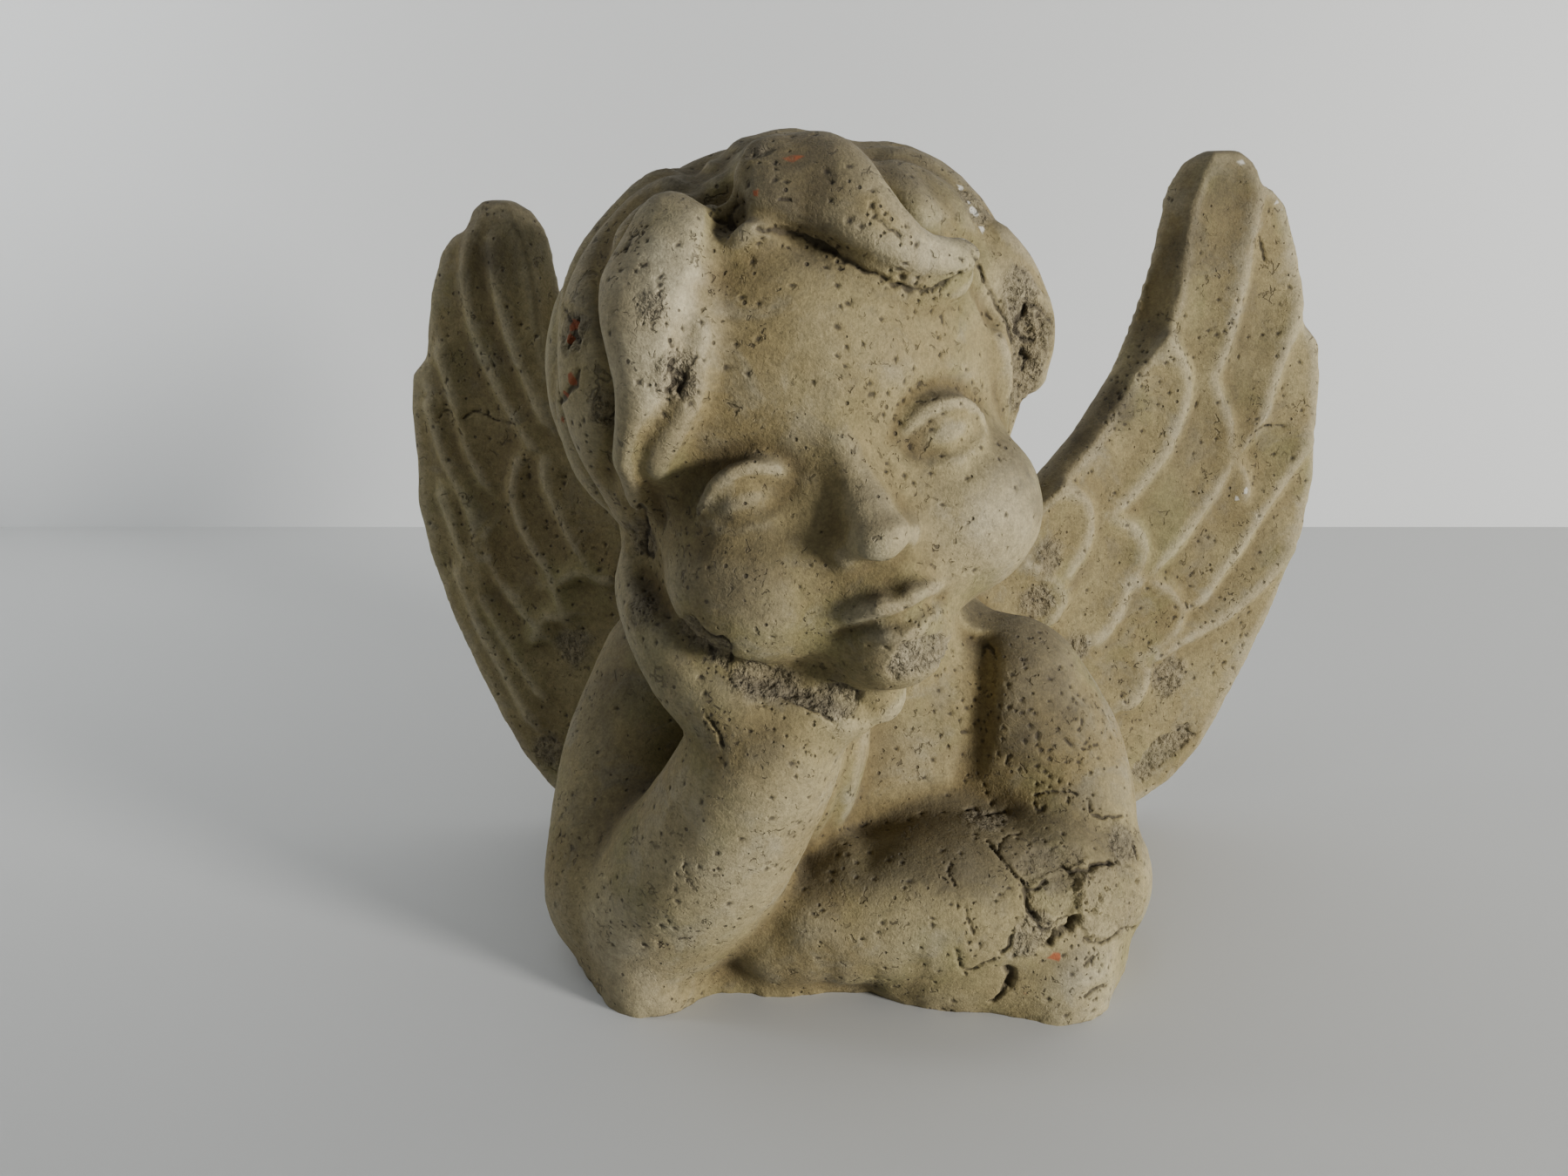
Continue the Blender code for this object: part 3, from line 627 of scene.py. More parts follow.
# Weathering, placed by where it shows in the picture: cracks as width, depth and path
CRACKS = (
    (0.7, 1.6, ((868, 262), (905, 268), (933, 277), (973, 300), (1013, 320), (1040, 332), (1070, 333),
                (1104, 314))),
    (0.8, 1.0, ((822, 250), (832, 256), (842, 262))),
    (0.6, 0.7, ((842, 262), (838, 248), (846, 238))),
    (0.5, 0.7, ((732, 268), (724, 276), (720, 288))),
    (0.5, 0.6, ((1000, 234), (1006, 247), (1018, 260), (1031, 272))),
    (0.8, 1.0, ((1120, 296), (1130, 320), (1142, 345), (1156, 370), (1163, 392))),
    (0.9, 1.6, ((1176, 356), (1166, 372), (1174, 388), (1186, 392))),
    (0.7, 1.3, ((1172, 400), (1178, 412), (1176, 424))),
    (0.6, 0.9, ((1188, 350), (1200, 358), (1210, 370))),
    (0.7, 1.4, ((776, 412), (770, 426), (776, 438), (768, 452))),
    (0.6, 1.1, ((776, 424), (786, 436), (778, 448))),
    (0.5, 1.6, ((1133, 965), (1143, 976), (1152, 988), (1161, 999), (1172, 1011), (1180, 1020))),
    (0.4, 0.9, ((1146, 974), (1153, 962), (1160, 957), (1172, 956))),
    (1.1, 3.0, ((1178, 1020), (1180, 1034), (1184, 1046), (1191, 1056))),
    (0.6, 1.6, ((1180, 1021), (1190, 1020), (1206, 1009))),
    (0.7, 1.6, ((1220, 994), (1232, 1000), (1246, 998), (1258, 992), (1276, 991))),
    (0.9, 2.4, ((1236, 1054), (1231, 1068), (1222, 1070), (1212, 1076), (1205, 1086))),
    (0.6, 1.5, ((1191, 1056), (1196, 1066), (1200, 1070), (1208, 1068), (1214, 1058), (1226, 1054))),
    (0.6, 1.4, ((1246, 1078), (1262, 1083), (1272, 1080), (1280, 1072), (1288, 1064), (1302, 1066))),
    (1.3, 2.6, ((1157, 1112), (1161, 1121), (1157, 1131))),
    (0.6, 1.4, ((1158, 1130), (1150, 1140), (1142, 1148), (1136, 1150))),
    (0.5, 1.1, ((1097, 1092), (1101, 1106), (1106, 1118))),
    (0.5, 1.0, ((1106, 1115), (1118, 1112), (1130, 1105), (1142, 1102))),
    (0.4, 0.8, ((1106, 1040), (1112, 1056), (1116, 1072))),
    (0.4, 0.7, ((1090, 992), (1090, 1006), (1098, 1016))),
    (0.4, 0.8, ((1186, 912), (1202, 909), (1222, 908), (1236, 912))),
    (0.5, 0.9, ((1250, 918), (1253, 934), (1268, 938), (1288, 937))),
    (0.8, 1.2, ((1302, 972), (1305, 984))),
    (0.6, 1.0, ((1160, 1075), (1158, 1086), (1150, 1094))),
    (0.6, 1.0, ((1247, 1144), (1257, 1136), (1267, 1132))),
    (0.7, 1.0, ((1246, 1108), (1256, 1099))),
    (0.5, 1.1, ((1108, 930), (1118, 926), (1126, 934), (1150, 931))),
    (0.5, 1.0, ((898, 798), (910, 806), (924, 810), (940, 818), (952, 826), (960, 832))),
    (0.6, 1.0, ((796, 708), (804, 722), (816, 732), (832, 734), (838, 746), (840, 758))),
    (0.5, 0.8, ((812, 742), (820, 748), (816, 756))),
    (0.5, 1.1, ((810, 824), (820, 834), (826, 844), (829, 858))),
    (0.8, 1.2, ((646, 352), (656, 372), (662, 394))),
    (0.9, 1.2, ((662, 366), (656, 384), (650, 398))),
    (0.8, 1.1, ((664, 426), (660, 440), (648, 456), (642, 462))),
    (0.8, 1.0, ((736, 580), (744, 604), (741, 626), (748, 640))),
    (0.5, 0.7, ((1445, 270), (1449, 285), (1452, 300))),
    (0.5, 0.9, ((1444, 494), (1458, 488), (1476, 489))),
    (0.5, 0.7, ((504, 480), (514, 470), (522, 484), (530, 500))),
    (0.5, 0.8, ((532, 480), (548, 472), (566, 481), (590, 488))),
    (0.6, 0.9, ((1128, 750), (1132, 740), (1140, 748))),
)

# Broken pieces as depth, crumb and outline: sunken, or raised where the depth is negative
BREAKS = (
    (0.9, 1.0, ((1018, 768), (1026, 782), (1046, 776), (1068, 770), (1088, 762), (1095, 748), (1092, 732),
                (1078, 726), (1054, 734), (1034, 742))),
    (0.5, 0.9, ((776, 714), (790, 706), (804, 714), (816, 728), (834, 735), (840, 752), (836, 770),
                (822, 762), (808, 746), (790, 734))),
    (0.8, 0.9, ((898, 796), (916, 790), (940, 786), (968, 786), (988, 792), (986, 810), (976, 824),
                (960, 830), (938, 816), (912, 806))),
    (1.5, 0.25, ((1181, 1024), (1192, 1019), (1206, 1006), (1224, 998), (1238, 1006), (1240, 1034),
                 (1232, 1048), (1220, 1054), (1204, 1048), (1186, 1046))),
    (0.8, 0.3, ((1166, 994), (1174, 984), (1188, 974), (1212, 970), (1240, 972), (1250, 984), (1232, 994),
                (1206, 1002), (1180, 1016))),
    (-0.9, 0.3, ((1240, 1018), (1246, 1004), (1260, 994), (1284, 990), (1306, 1000), (1312, 1040),
                 (1300, 1062), (1282, 1070), (1262, 1080), (1244, 1070), (1238, 1044))),
    (1.8, 0.4, ((1206, 1078), (1212, 1060), (1224, 1055), (1238, 1052), (1233, 1068), (1220, 1072))),
    (0.4, 0.8, ((1166, 1062), (1184, 1056), (1206, 1056), (1204, 1080), (1186, 1096), (1168, 1100),
                (1160, 1080))),
    (1.2, 0.9, ((1298, 885), (1330, 846), (1362, 830), (1372, 846), (1340, 874), (1310, 900))),
    (0.8, 0.8, ((850, 182), (858, 170), (878, 164), (890, 170), (876, 178))),
)

# Rough broken patches as place, radius and depth
ROUGH_PATCHES = (
    ((865, 775), 6, 0.7), ((890, 782), 6, 0.8), ((748, 352), 4, 0.7), ((1182, 372), 8, 1.1),
    ((1196, 388), 7, 1.3), ((1176, 330), 6, 0.7), ((1180, 420), 7, 1.1), ((1172, 452), 6, 0.9),
    ((1120, 240), 6, 0.7), ((1340, 778), 8, 1.2), ((1205, 640), 6, 0.8), ((1190, 690), 7, 0.9),
    ((1235, 745), 6, 0.8), ((735, 700), 5, 0.6), ((655, 382), 6, 1.0), ((740, 615), 6, 0.8),
    ((630, 860), 7, 0.8), ((776, 432), 6, 0.9), ((1290, 970), 6, 0.7), ((1130, 940), 6, 0.8),
    ((700, 470), 5, 0.6), ((660, 740), 7, 0.7), ((1192, 1064), 5, 0.8),
)

# Fields of small pits as place, reach, how many and largest radius
PIT_FIELDS = (
    ((1180, 1040), 30, 70, 1.5), ((1020, 1010), 40, 70, 1.1), ((1120, 830), 26, 60, 1.3),
    ((1220, 850), 26, 60, 1.3), ((990, 290), 26, 50, 1.2), ((1080, 330), 16, 30, 1.2),
    ((900, 210), 26, 34, 1.1), ((1180, 380), 20, 50, 1.4), ((772, 420), 18, 36, 1.3),
    ((730, 290), 16, 24, 1.0), ((1380, 700), 40, 80, 1.2), ((1420, 420), 36, 46, 1.1),
    ((1320, 440), 24, 30, 1.2), ((830, 800), 22, 46, 1.1), ((900, 900), 30, 30, 1.0),
    ((740, 700), 18, 30, 1.2), ((1250, 1120), 22, 40, 1.3), ((920, 150), 30, 30, 1.1),
    ((1090, 470), 24, 30, 1.0), ((620, 600), 30, 36, 1.1), ((560, 420), 30, 30, 1.1),
    ((700, 520), 20, 22, 1.0), ((1000, 420), 30, 20, 0.9), ((760, 1000), 40, 26, 0.9),
)
PIT_SHARES = (0.2, 0.6)
LOOSE_PITS = 850
LOOSE_PIT_LEAST = 0.3
LOOSE_PIT_SPREAD = 0.8

# Old dirt with painted shade where the figure lies in shadow, and places bleached by rain and sun, with
# painted light where the figure is lit, as place, radius and strength
SOILED_AND_SHADED = (
    ((950, 165), 12, 0.4), ((1010, 190), 14, 0.45), ((1080, 220), 14, 0.55), ((1140, 270), 12, 0.4),
    ((930, 228), 14, 0.9), ((895, 205), 11, 0.6), ((850, 245), 9, 0.7), ((900, 300), 9, 0.25),
    ((1410, 215), 20, 0.72), ((1385, 290), 16, 0.5), ((1345, 300), 12, 0.7), ((1320, 370), 12, 0.7),
    ((1290, 462), 9, 0.8), ((1270, 455), 12, 0.7), ((1240, 500), 12, 0.7), ((1190, 560), 12, 0.8),
    ((1400, 480), 30, 0.42), ((1200, 790), 21, 0.88), ((1170, 850), 14, 0.6), ((1240, 830), 12, 0.35),
    ((1060, 985), 14, 0.5), ((880, 850), 14, 0.5), ((850, 650), 22, 0.7), ((1430, 390), 18, 0.4),
    ((560, 280), 22, 0.7), ((700, 790), 22, 0.55), ((1120, 870), 9, 0.45), ((668, 950), 14, 0.5),
    ((1330, 560), 20, 0.3),
)
BLEACHED_AND_LIT = (
    ((748, 300), 13, 0.95), ((768, 370), 12, 0.85), ((740, 430), 10, 0.7), ((1080, 285), 8, 0.5),
    ((705, 1095), 20, 0.7), ((1130, 600), 14, 0.45), ((1040, 755), 8, 0.6), ((820, 1000), 22, 0.35),
    ((1160, 330), 10, 0.35), ((1050, 860), 12, 0.3), ((1265, 1110), 14, 0.3),
)

# Small rust stains and pale chips as place and radius, and how much of a chip's radius shows pale
RUST_SPECKS = (
    ((656, 372), 1.6), ((652, 388), 1.1), ((655, 436), 1.5), ((648, 452), 1.2), ((646, 480), 1.0),
    ((912, 181), 1.2), ((921, 178), 0.9), ((905, 184), 0.8), ((1212, 1098), 1.6), ((1175, 1137), 1.2),
    ((690, 1163), 2.0), ((702, 1166), 1.5), ((1470, 1100), 1.0), ((868, 222), 0.9),
)
PALE_CHIPS = (
    ((1102, 216), 1.5), ((1112, 232), 1.2), ((1118, 242), 2.4), ((1127, 262), 1.6), ((1105, 275), 1.0),
    ((1425, 551), 1.5), ((1430, 562), 1.8), ((1420, 572), 1.2), ((1470, 240), 1.6), ((1466, 232), 1.2),
    ((1120, 700), 1.0), ((1424, 186), 1.8), ((640, 336), 1.6),
)
CHIP_SHARE = 0.6

# How high the base is rough, and the scales of hollows: passes of smoothing and the depth that is full
FOOT_HEIGHT = 3.2
HOLLOW_SCALES = ((6, 0.3), (36, 1.0), (130, 2.4))
HOLLOW_SMOOTHING = 0.7

# Marks: how far past its radius each kind is looked for, as a share; how wide a flake's edge is and how big
# crumbs are, in figure units; how far an outline strays, in pixels; and how far a crack strays and is looked
# for, in metres
PATCH_SPREAD = 1.35
PIT_SPREAD = 1.6
SPOT_SPREAD = 1.5
DIRT_BLEACH_AND_LIGHT_SPREAD = 1.5
FLAKE_EDGE = 0.9
CRUMB_SIZE = 2.3
OUTLINE_STRAY = 4
CRACK_STRAY = 0.0008
CRACK_MARGIN = 0.005

# Noise: how far apart the seeds lie, how much finer and weaker each octave is, the draw of the pits, and the
# seed behind each kind of mark
SEED_SHIFT = (3.1, 7.7, 1.3)
OCTAVE_FINER = 2.1
OCTAVE_WEAKER = 0.55
PIT_DRAW = 11
CRACK_WANDER = (1, 2, 3)
CRACK_DEPTH = 4
PATCH_EDGE = 5
BROKEN_STONE = 6
STAIN_EDGE = 7
FOOT_WEAR = 8
BROAD_WAVES = 9
FINE_WAVES = 10
OUTLINE_WANDER = (12, 13)
DIRT_AND_LIGHT_PATCHES = 14
PIT_RIM = 21

# Masks of wear that the skin carries for its material; the soiled mask also carries painted shade, the
# bleached mask painted light
WEAR = ("dark", "rough", "rust", "pale", "soiled_and_shaded", "bleached_and_lit")

# Colours of the concrete, from clean cement to pits, and its roughness
CEMENT_BROWN = (0.185, 0.142, 0.060)
CEMENT_OCHRE = (0.26, 0.215, 0.103)
GREEN_PATINA = (0.17, 0.155, 0.060)
GREY_PATINA = (0.25, 0.228, 0.155)
# Pale wear on proud places, and a painted highlight there too
WORN_AND_LIT_CEMENT = (0.34, 0.30, 0.195)
# Settled dirt in hollows, and painted shade there too
SETTLED_DIRT_AND_SHADE = (0.095, 0.066, 0.024)
# Grime on what faces up, and painted shade there too
UPPER_GRIME_AND_SHADE = (0.072, 0.057, 0.031)
# Bleached cement, and painted light where the figure is lit
BLEACHED_AND_LIT_CEMENT = (0.44, 0.39, 0.26)
# Old dirt, and painted shade where the figure lies in shadow
OLD_SOIL_AND_SHADE = (0.060, 0.046, 0.022)
BROKEN_CEMENT = (0.18, 0.155, 0.11)
CRACK_BLACK = (0.022, 0.015, 0.008)
PIT_BROWN = (0.038, 0.027, 0.014)
RUST_RED = (0.27, 0.06, 0.015)
CHIP_WHITE = (0.52, 0.50, 0.44)
CONCRETE_ROUGHNESS = 0.86

# Stage, in metres: how far it reaches, how far back and how high the wall is, and the colours
STAGE_REACH = 3
WALL_BACK = 0.5
WALL_HEIGHT = 2.5
FLOOR_COLOUR = (0.56, 0.566, 0.56)
WALL_COLOUR = (0.60, 0.61, 0.61)
STAGE_ROUGHNESS = 0.6

# Lamps as name, place, aim, size, power and colour, and the light of the room
LAMPS = (
    ("window", (2.02, -1.26, 0.50), (0, 0, 0.14), 0.5, 94.0, (1.0, 0.98, 0.94)),
    ("ceiling", (-0.6, 0.0, 1.6), (-0.3, 0.3, 0.1), 1.6, 6.0, (0.96, 0.98, 1.0)),
    ("wall wash", (-0.75, 0.0, 0.5), (-0.62, 0.5, 0.4), 0.4, 3.2, (0.97, 0.99, 1.0)),
)
ROOM_COLOUR = (0.86, 0.93, 1.0, 1)
ROOM_LIGHT = 0.10
SENSOR_WIDTH = 36
CLIP_START = 0.01

# Sockets of the Mix node for colours, which share their names with those for numbers
MIX_SHARE, MIX_A, MIX_B, MIX_RESULT = 0, 6, 7, 2


def sight(x, y):
    """The way that a place in the picture lies from the view point."""
    across, down = x - PICTURE[0] / 2, y - PICTURE[1] / 2
    ahead, tilt = FOCAL * math.cos(VIEW_PITCH), FOCAL * math.sin(VIEW_PITCH)
    rise = -tilt - down * math.cos(VIEW_PITCH)
    return Vector((across, ahead - down * math.sin(VIEW_PITCH), rise)).normalized()


def uneven(points, size, seed, octaves=1):
    """Smooth noise from about -1 to 1 at points, with bumps of about this size in figure units."""
    places = points / (size * UNIT) + np.array(SEED_SHIFT) * seed
    total, strength = np.zeros(len(points)), 1.0
    for _ in range(octaves):
        total += strength * np.array([noise.noise(p) for p in places.tolist()])
        places, strength = places * OCTAVE_FINER, strength * OCTAVE_WEAKER
    return total


class Weather:
    """Wear of the skin: where it is hollow, proud, pitted, cracked, stained or chipped."""

    def __init__(self, mesh):
        self.skin = Skin(mesh)
        faces = [tuple(face.vertices) for face in mesh.polygons]
        self.tree = BVHTree.FromPolygons(self.skin.points.tolist(), faces)
        count = len(self.skin.points)
        self.normals = self.skin.normals()
        self.masks = {name: np.zeros(count) for name in ("sink", *WEAR)}
        across, ahead, up = (self.skin.points / UNIT - VIEW_POINT).T
        self.far = ahead * math.cos(VIEW_PITCH) - up * math.sin(VIEW_PITCH)
        rise = ahead * math.sin(VIEW_PITCH) + up * math.cos(VIEW_PITCH)
        seen = np.column_stack([across, -rise]) * (FOCAL / self.far)[:, None]
        self.seen = seen + np.array(PICTURE) / 2
        self.lookup = KDTree(count)
        for i, point in enumerate(self.skin.points.tolist()):
            self.lookup.insert(point, i)
        self.lookup.balance()

    def place(self, x, y):
        """The place on the skin that shows there in the picture, or None beside the figure."""
        return self.tree.ray_cast(Vector(units(VIEW_POINT)), sight(x, y))[0]

    def around(self, centre, radius):
        """Points within a radius of a place, if there is one, and how far off they are as shares of it."""
        found = [] if centre is None else self.lookup.find_range(centre, radius * UNIT)
        near = np.array([i for _, i, _ in found], int)
        return near, np.array([far for _, _, far in found]) / (radius * UNIT)

    def mark(self, name, near, strength):
        """Raises a mask to a strength at these points, where it is weaker."""
        self.masks[name][near] = np.maximum(self.masks[name][near], strength)

    def broken_stone(self, near):
        """The crumbly surface of broken concrete at these points."""
        return uneven(self.skin.points[near], CRUMB_SIZE, BROKEN_STONE, 3)

    def outlined(self, outline):
        """The points near an outline in the picture, and how far inside it they are, in figure units."""
        loop = np.array(outline + outline[:1], float)
        reach = 1.5 * np.ptp(loop, axis=0).max() / FOCAL * self.far.mean()
        near, _ = self.around(self.place(*loop.mean(0)), reach)
        wander = np.column_stack([uneven(self.skin.points[near], 3, seed) for seed in OUTLINE_WANDER])
        seen = self.seen[near] + OUTLINE_STRAY * wander
        far, _ = path_distance(seen, loop)
        inside = np.zeros(len(near), bool)
        for a, b in zip(loop, loop[1:]):
            level = (a[1] > seen[:, 1]) != (b[1] > seen[:, 1])
            crossing = a[0] + (seen[:, 1] - a[1]) * (b[0] - a[0]) / (b[1] - a[1] + 1e-9)
            inside ^= level & (seen[:, 0] < crossing)
        return near, np.where(inside, far, -far) * self.far[near] / FOCAL

    def break_off(self, depth, crumb, outline):
        """A flake that is gone, or left standing where the depth is negative."""
        near, inside = self.outlined(outline)
        share = (0.5 + inside / FLAKE_EDGE).clip(0, 1)
        broken = self.broken_stone(near)
        self.masks["sink"][near] += share * (depth + crumb * (0.2 + 0.8 * broken))
        crumbled = share * min(1, crumb * 1.2)
        self.mark("rough", near, crumbled)
        self.mark("dark", near, crumbled * (0.9 * broken).clip(0, 0.5))

    def crack(self, width, depth, path):
        """A wandering crack, cut into the skin along a path in the picture."""
        line = [self.place(x, y) for x, y in smooth_path(path, 5)]
        line = np.array([tuple(p) for p in line if p])
        low, high = line.min(0) - CRACK_MARGIN, line.max(0) + CRACK_MARGIN
        near = ((self.skin.points > low) & (self.skin.points < high)).all(1).nonzero()[0]
        points = self.skin.points[near]
        wander = np.column_stack([uneven(points, 2.2, seed) for seed in CRACK_WANDER])
        far, _ = path_distance(points + CRACK_STRAY * wander, line)
        cut = np.exp(-((far / (width * UNIT)) ** 2)) * (0.85 + 0.5 * uneven(points, 5, CRACK_DEPTH))
        self.mark("sink", near, depth * cut)
        self.mark("dark", near, (1.3 * cut).clip(0, 1))

    def rough_patch(self, place, radius, depth):
        """A patch whose skin has crumbled away."""
        near, far = self.around(self.place(*place), radius * PATCH_SPREAD)
        ragged = uneven(self.skin.points[near], 5, PATCH_EDGE)
        edge = (1.15 - far * PATCH_SPREAD + 0.35 * ragged).clip(0, 0.4) / 0.4
        broken = self.broken_stone(near)
        self.masks["sink"][near] += depth * edge * (0.25 + 0.7 * broken)
        self.mark("rough", near, edge)
        self.mark("dark", near, edge * (0.9 * broken).clip(0, 0.6))

    def pit(self, centre, radius):
        """A small hole with a ragged rim, as left by an air bubble."""
        near, far = self.around(centre, radius * PIT_SPREAD)
        far = far * (1 + 0.5 * uneven(self.skin.points[near], 1.0, PIT_RIM))
        dip = np.exp(-((PIT_SPREAD * far) ** 2) * 1.4)
        self.mark("sink", near, 0.8 * radius * dip)
        self.mark("dark", near, (1.25 * dip - 0.25).clip(0, 1))

    def stain(self, name, place, radius):
        """A small spot of rust or a pale chip, with a ragged edge."""
        near, far = self.around(self.place(*place), radius * SPOT_SPREAD)
        ragged = uneven(self.skin.points[near], 1.6, STAIN_EDGE)
        self.mark(name, near, (SPOT_SPREAD - SPOT_SPREAD * far + 0.5 * ragged).clip(0, 1))

    def dirt_bleach_and_painted_light(self, name, place, radius, share):
        """Old dirt with painted shade, or bleaching with painted light, that fades out round a place."""
        near, far = self.around(self.place(*place), radius * DIRT_BLEACH_AND_LIGHT_SPREAD)
        wear_and_light = uneven(self.skin.points[near], 8, DIRT_AND_LIGHT_PATCHES, 2)
        spot = share * np.exp(-((DIRT_BLEACH_AND_LIGHT_SPREAD * far) ** 2) * 1.3) * (0.75 + 0.4 * wear_and_light)
        mask = self.masks[name]
        mask[near] = 1 - (1 - mask[near]) * (1 - spot.clip(0, 1))

    def hollows(self):
        """How hollow the skin is, from about -1, proud, to 1."""
        kept, deep = self.skin.points.copy(), np.zeros(len(self.skin.points))
        done = 0
        for passes, size in HOLLOW_SCALES:
            self.skin.relax(passes - done, HOLLOW_SMOOTHING)
            done = passes
            inward = np.einsum("ij,ij->i", self.skin.points - kept, self.normals) / UNIT
            deep += np.clip(inward / size, -1, 1) / len(HOLLOW_SCALES)
        self.skin.points = kept
        return deep

    def wear_down(self):
        """Every mark in turn, then a rough base and an uneven surface, all pushed into the skin at last."""
        rng = np.random.default_rng(PIT_DRAW)
        self.masks["hollow"] = self.hollows()
        self.masks["upper"] = self.normals[:, 2]
        points, sink = self.skin.points, self.masks["sink"]
        for mark in CRACKS:
            self.crack(*mark)
        for mark in BREAKS:
            self.break_off(*mark)
        for mark in ROUGH_PATCHES:
            self.rough_patch(*mark)
        for place, reach, count, largest in PIT_FIELDS:
            near, far = self.around(self.place(*place), reach)
            near = near[rng.random(len(near)) > far]
            for i in rng.choice(near, min(count, len(near)), replace=False):
                self.pit(points[i], largest * rng.uniform(*PIT_SHARES))
        for i in rng.choice(len(points), LOOSE_PITS, replace=False):
            self.pit(points[i], LOOSE_PIT_LEAST + LOOSE_PIT_SPREAD * rng.random() ** 4)
        # Soiled places carry old dirt and painted shade; bleached places carry bleaching and painted light
        for name, marks in (("soiled_and_shaded", SOILED_AND_SHADED), ("bleached_and_lit", BLEACHED_AND_LIT)):
            for mark in marks:
                self.dirt_bleach_and_painted_light(name, *mark)
        for name, marks, share in (("rust", RUST_SPECKS, 1), ("pale", PALE_CHIPS, CHIP_SHARE)):
            for place, radius in marks:
                self.stain(name, place, share * radius)
        foot = np.exp(-((points[:, 2] / (FOOT_HEIGHT * UNIT)) ** 2))
        sink += foot * (0.2 + 0.9 * uneven(points, 6, FOOT_WEAR, 2))
        sink += 0.28 * uneven(points, 11, BROAD_WAVES, 2) + 0.1 * uneven(points, 2.6, FINE_WAVES)
        self.skin.points = points - self.normals * (sink * UNIT)[:, None]

    def finish(self):
        """The worn mesh, with its masks on its points."""
        self.skin.write()
        for name in ("hollow", "upper", *WEAR):
            layer = self.skin.mesh.attributes.new(name, "FLOAT", "POINT")
            layer.data.foreach_set("value", self.masks[name].astype(np.float32))
        return self.skin.mesh


def finer_near_wear(mesh):
    """Splits the faces round cracks and broken patches, so that these have crisp edges."""
    weather = Weather(mesh)
    close = np.zeros(len(weather.skin.points), bool)
    places = [(p, FINER_NEAR) for _, _, path in CRACKS for p in smooth_path(path, 2)]
    places += [(place, radius + PATCH_MARGIN) for place, radius, _ in ROUGH_PATCHES]
    for _, _, outline in BREAKS:
        loop = np.array(outline, float)
        places += [(loop.mean(0), np.ptp(loop, axis=0).max() / PIXELS_A_UNIT)]
        places += [(place, FINER_NEAR) for place in smooth_path(outline, 2)]
    for place, radius in places:
        close[weather.around(weather.place(*place), radius)[0]] = True
    work = bmesh.new()
    work.from_mesh(mesh)
    work.verts.ensure_lookup_table()
    edges = [e for e in work.edges if close[e.verts[0].index] and close[e.verts[1].index]]
    bmesh.ops.subdivide_edges(work, edges=edges, cuts=1, use_grid_fill=True)
    work.to_mesh(mesh)
    work.free()
    return mesh


def finished_skin(mesh):
    """Thins the skin to its triangles, keeping its detail, and cuts the underside flat."""
    rough = in_scene("rough", mesh)
    fewer = rough.modifiers.new("Fewer triangles", "DECIMATE")
    triangles = sum(len(face.vertices) - 2 for face in mesh.polygons)
    fewer.ratio = min(1, SKIN_TRIANGLES / triangles)
    graph = bpy.context.evaluated_depsgraph_get()
    cut = bmesh.new()
    cut.from_object(rough, graph)
    bpy.data.objects.remove(rough)
    everything = cut.verts[:] + cut.edges[:] + cut.faces[:]
    made = bmesh.ops.bisect_plane(
        cut, geom=everything, dist=WELD, plane_co=(0, 0, 0), plane_no=(0, 0, -1), clear_outer=True
    )
    rim = [e for e in made["geom_cut"] if isinstance(e, bmesh.types.BMEdge)]
    bmesh.ops.edgeloop_fill(cut, edges=rim)
    bmesh.ops.triangulate(cut, faces=cut.faces)
    bmesh.ops.recalc_face_normals(cut, faces=cut.faces)
    skin = bpy.data.meshes.new("weathered_cherub")
    cut.to_mesh(skin)
    cut.free()
    skin.shade_smooth()
    skin.set_sharp_from_angle(angle=SHARP_ANGLE)
    return skin


class Field:
    """A number that varies over the surface."""

    def __init__(self, finish, socket):
        self.finish, self.socket = finish, socket

    def maths(self, operation, a, b):
        node = self.finish.node("ShaderNodeMath", {"operation": operation}, {0: a, 1: b})
        return Field(self.finish, node.outputs[0])

    def __add__(self, other):
        return self.maths("ADD", self, other)

    def __mul__(self, other):
        return self.maths("MULTIPLY", self, other)

    def __sub__(self, other):
        return self.maths("SUBTRACT", self, other)

    def __rsub__(self, other):
        return self.maths("SUBTRACT", other, self)

    def __truediv__(self, other):
        return self.maths("DIVIDE", self, other)

    def __or__(self, other):
        return self.maths("MAXIMUM", self, other)

    __radd__, __rmul__, __ror__ = __add__, __mul__, __or__

    def rise(self, low, high):
        """0 below low, 1 above high and smooth between."""
        ends = {"Value": self, "From Min": low, "From Max": high}
        node = self.finish.node("ShaderNodeMapRange", {"interpolation_type": "SMOOTHSTEP"}, ends)
        return Field(self.finish, node.outputs[0])


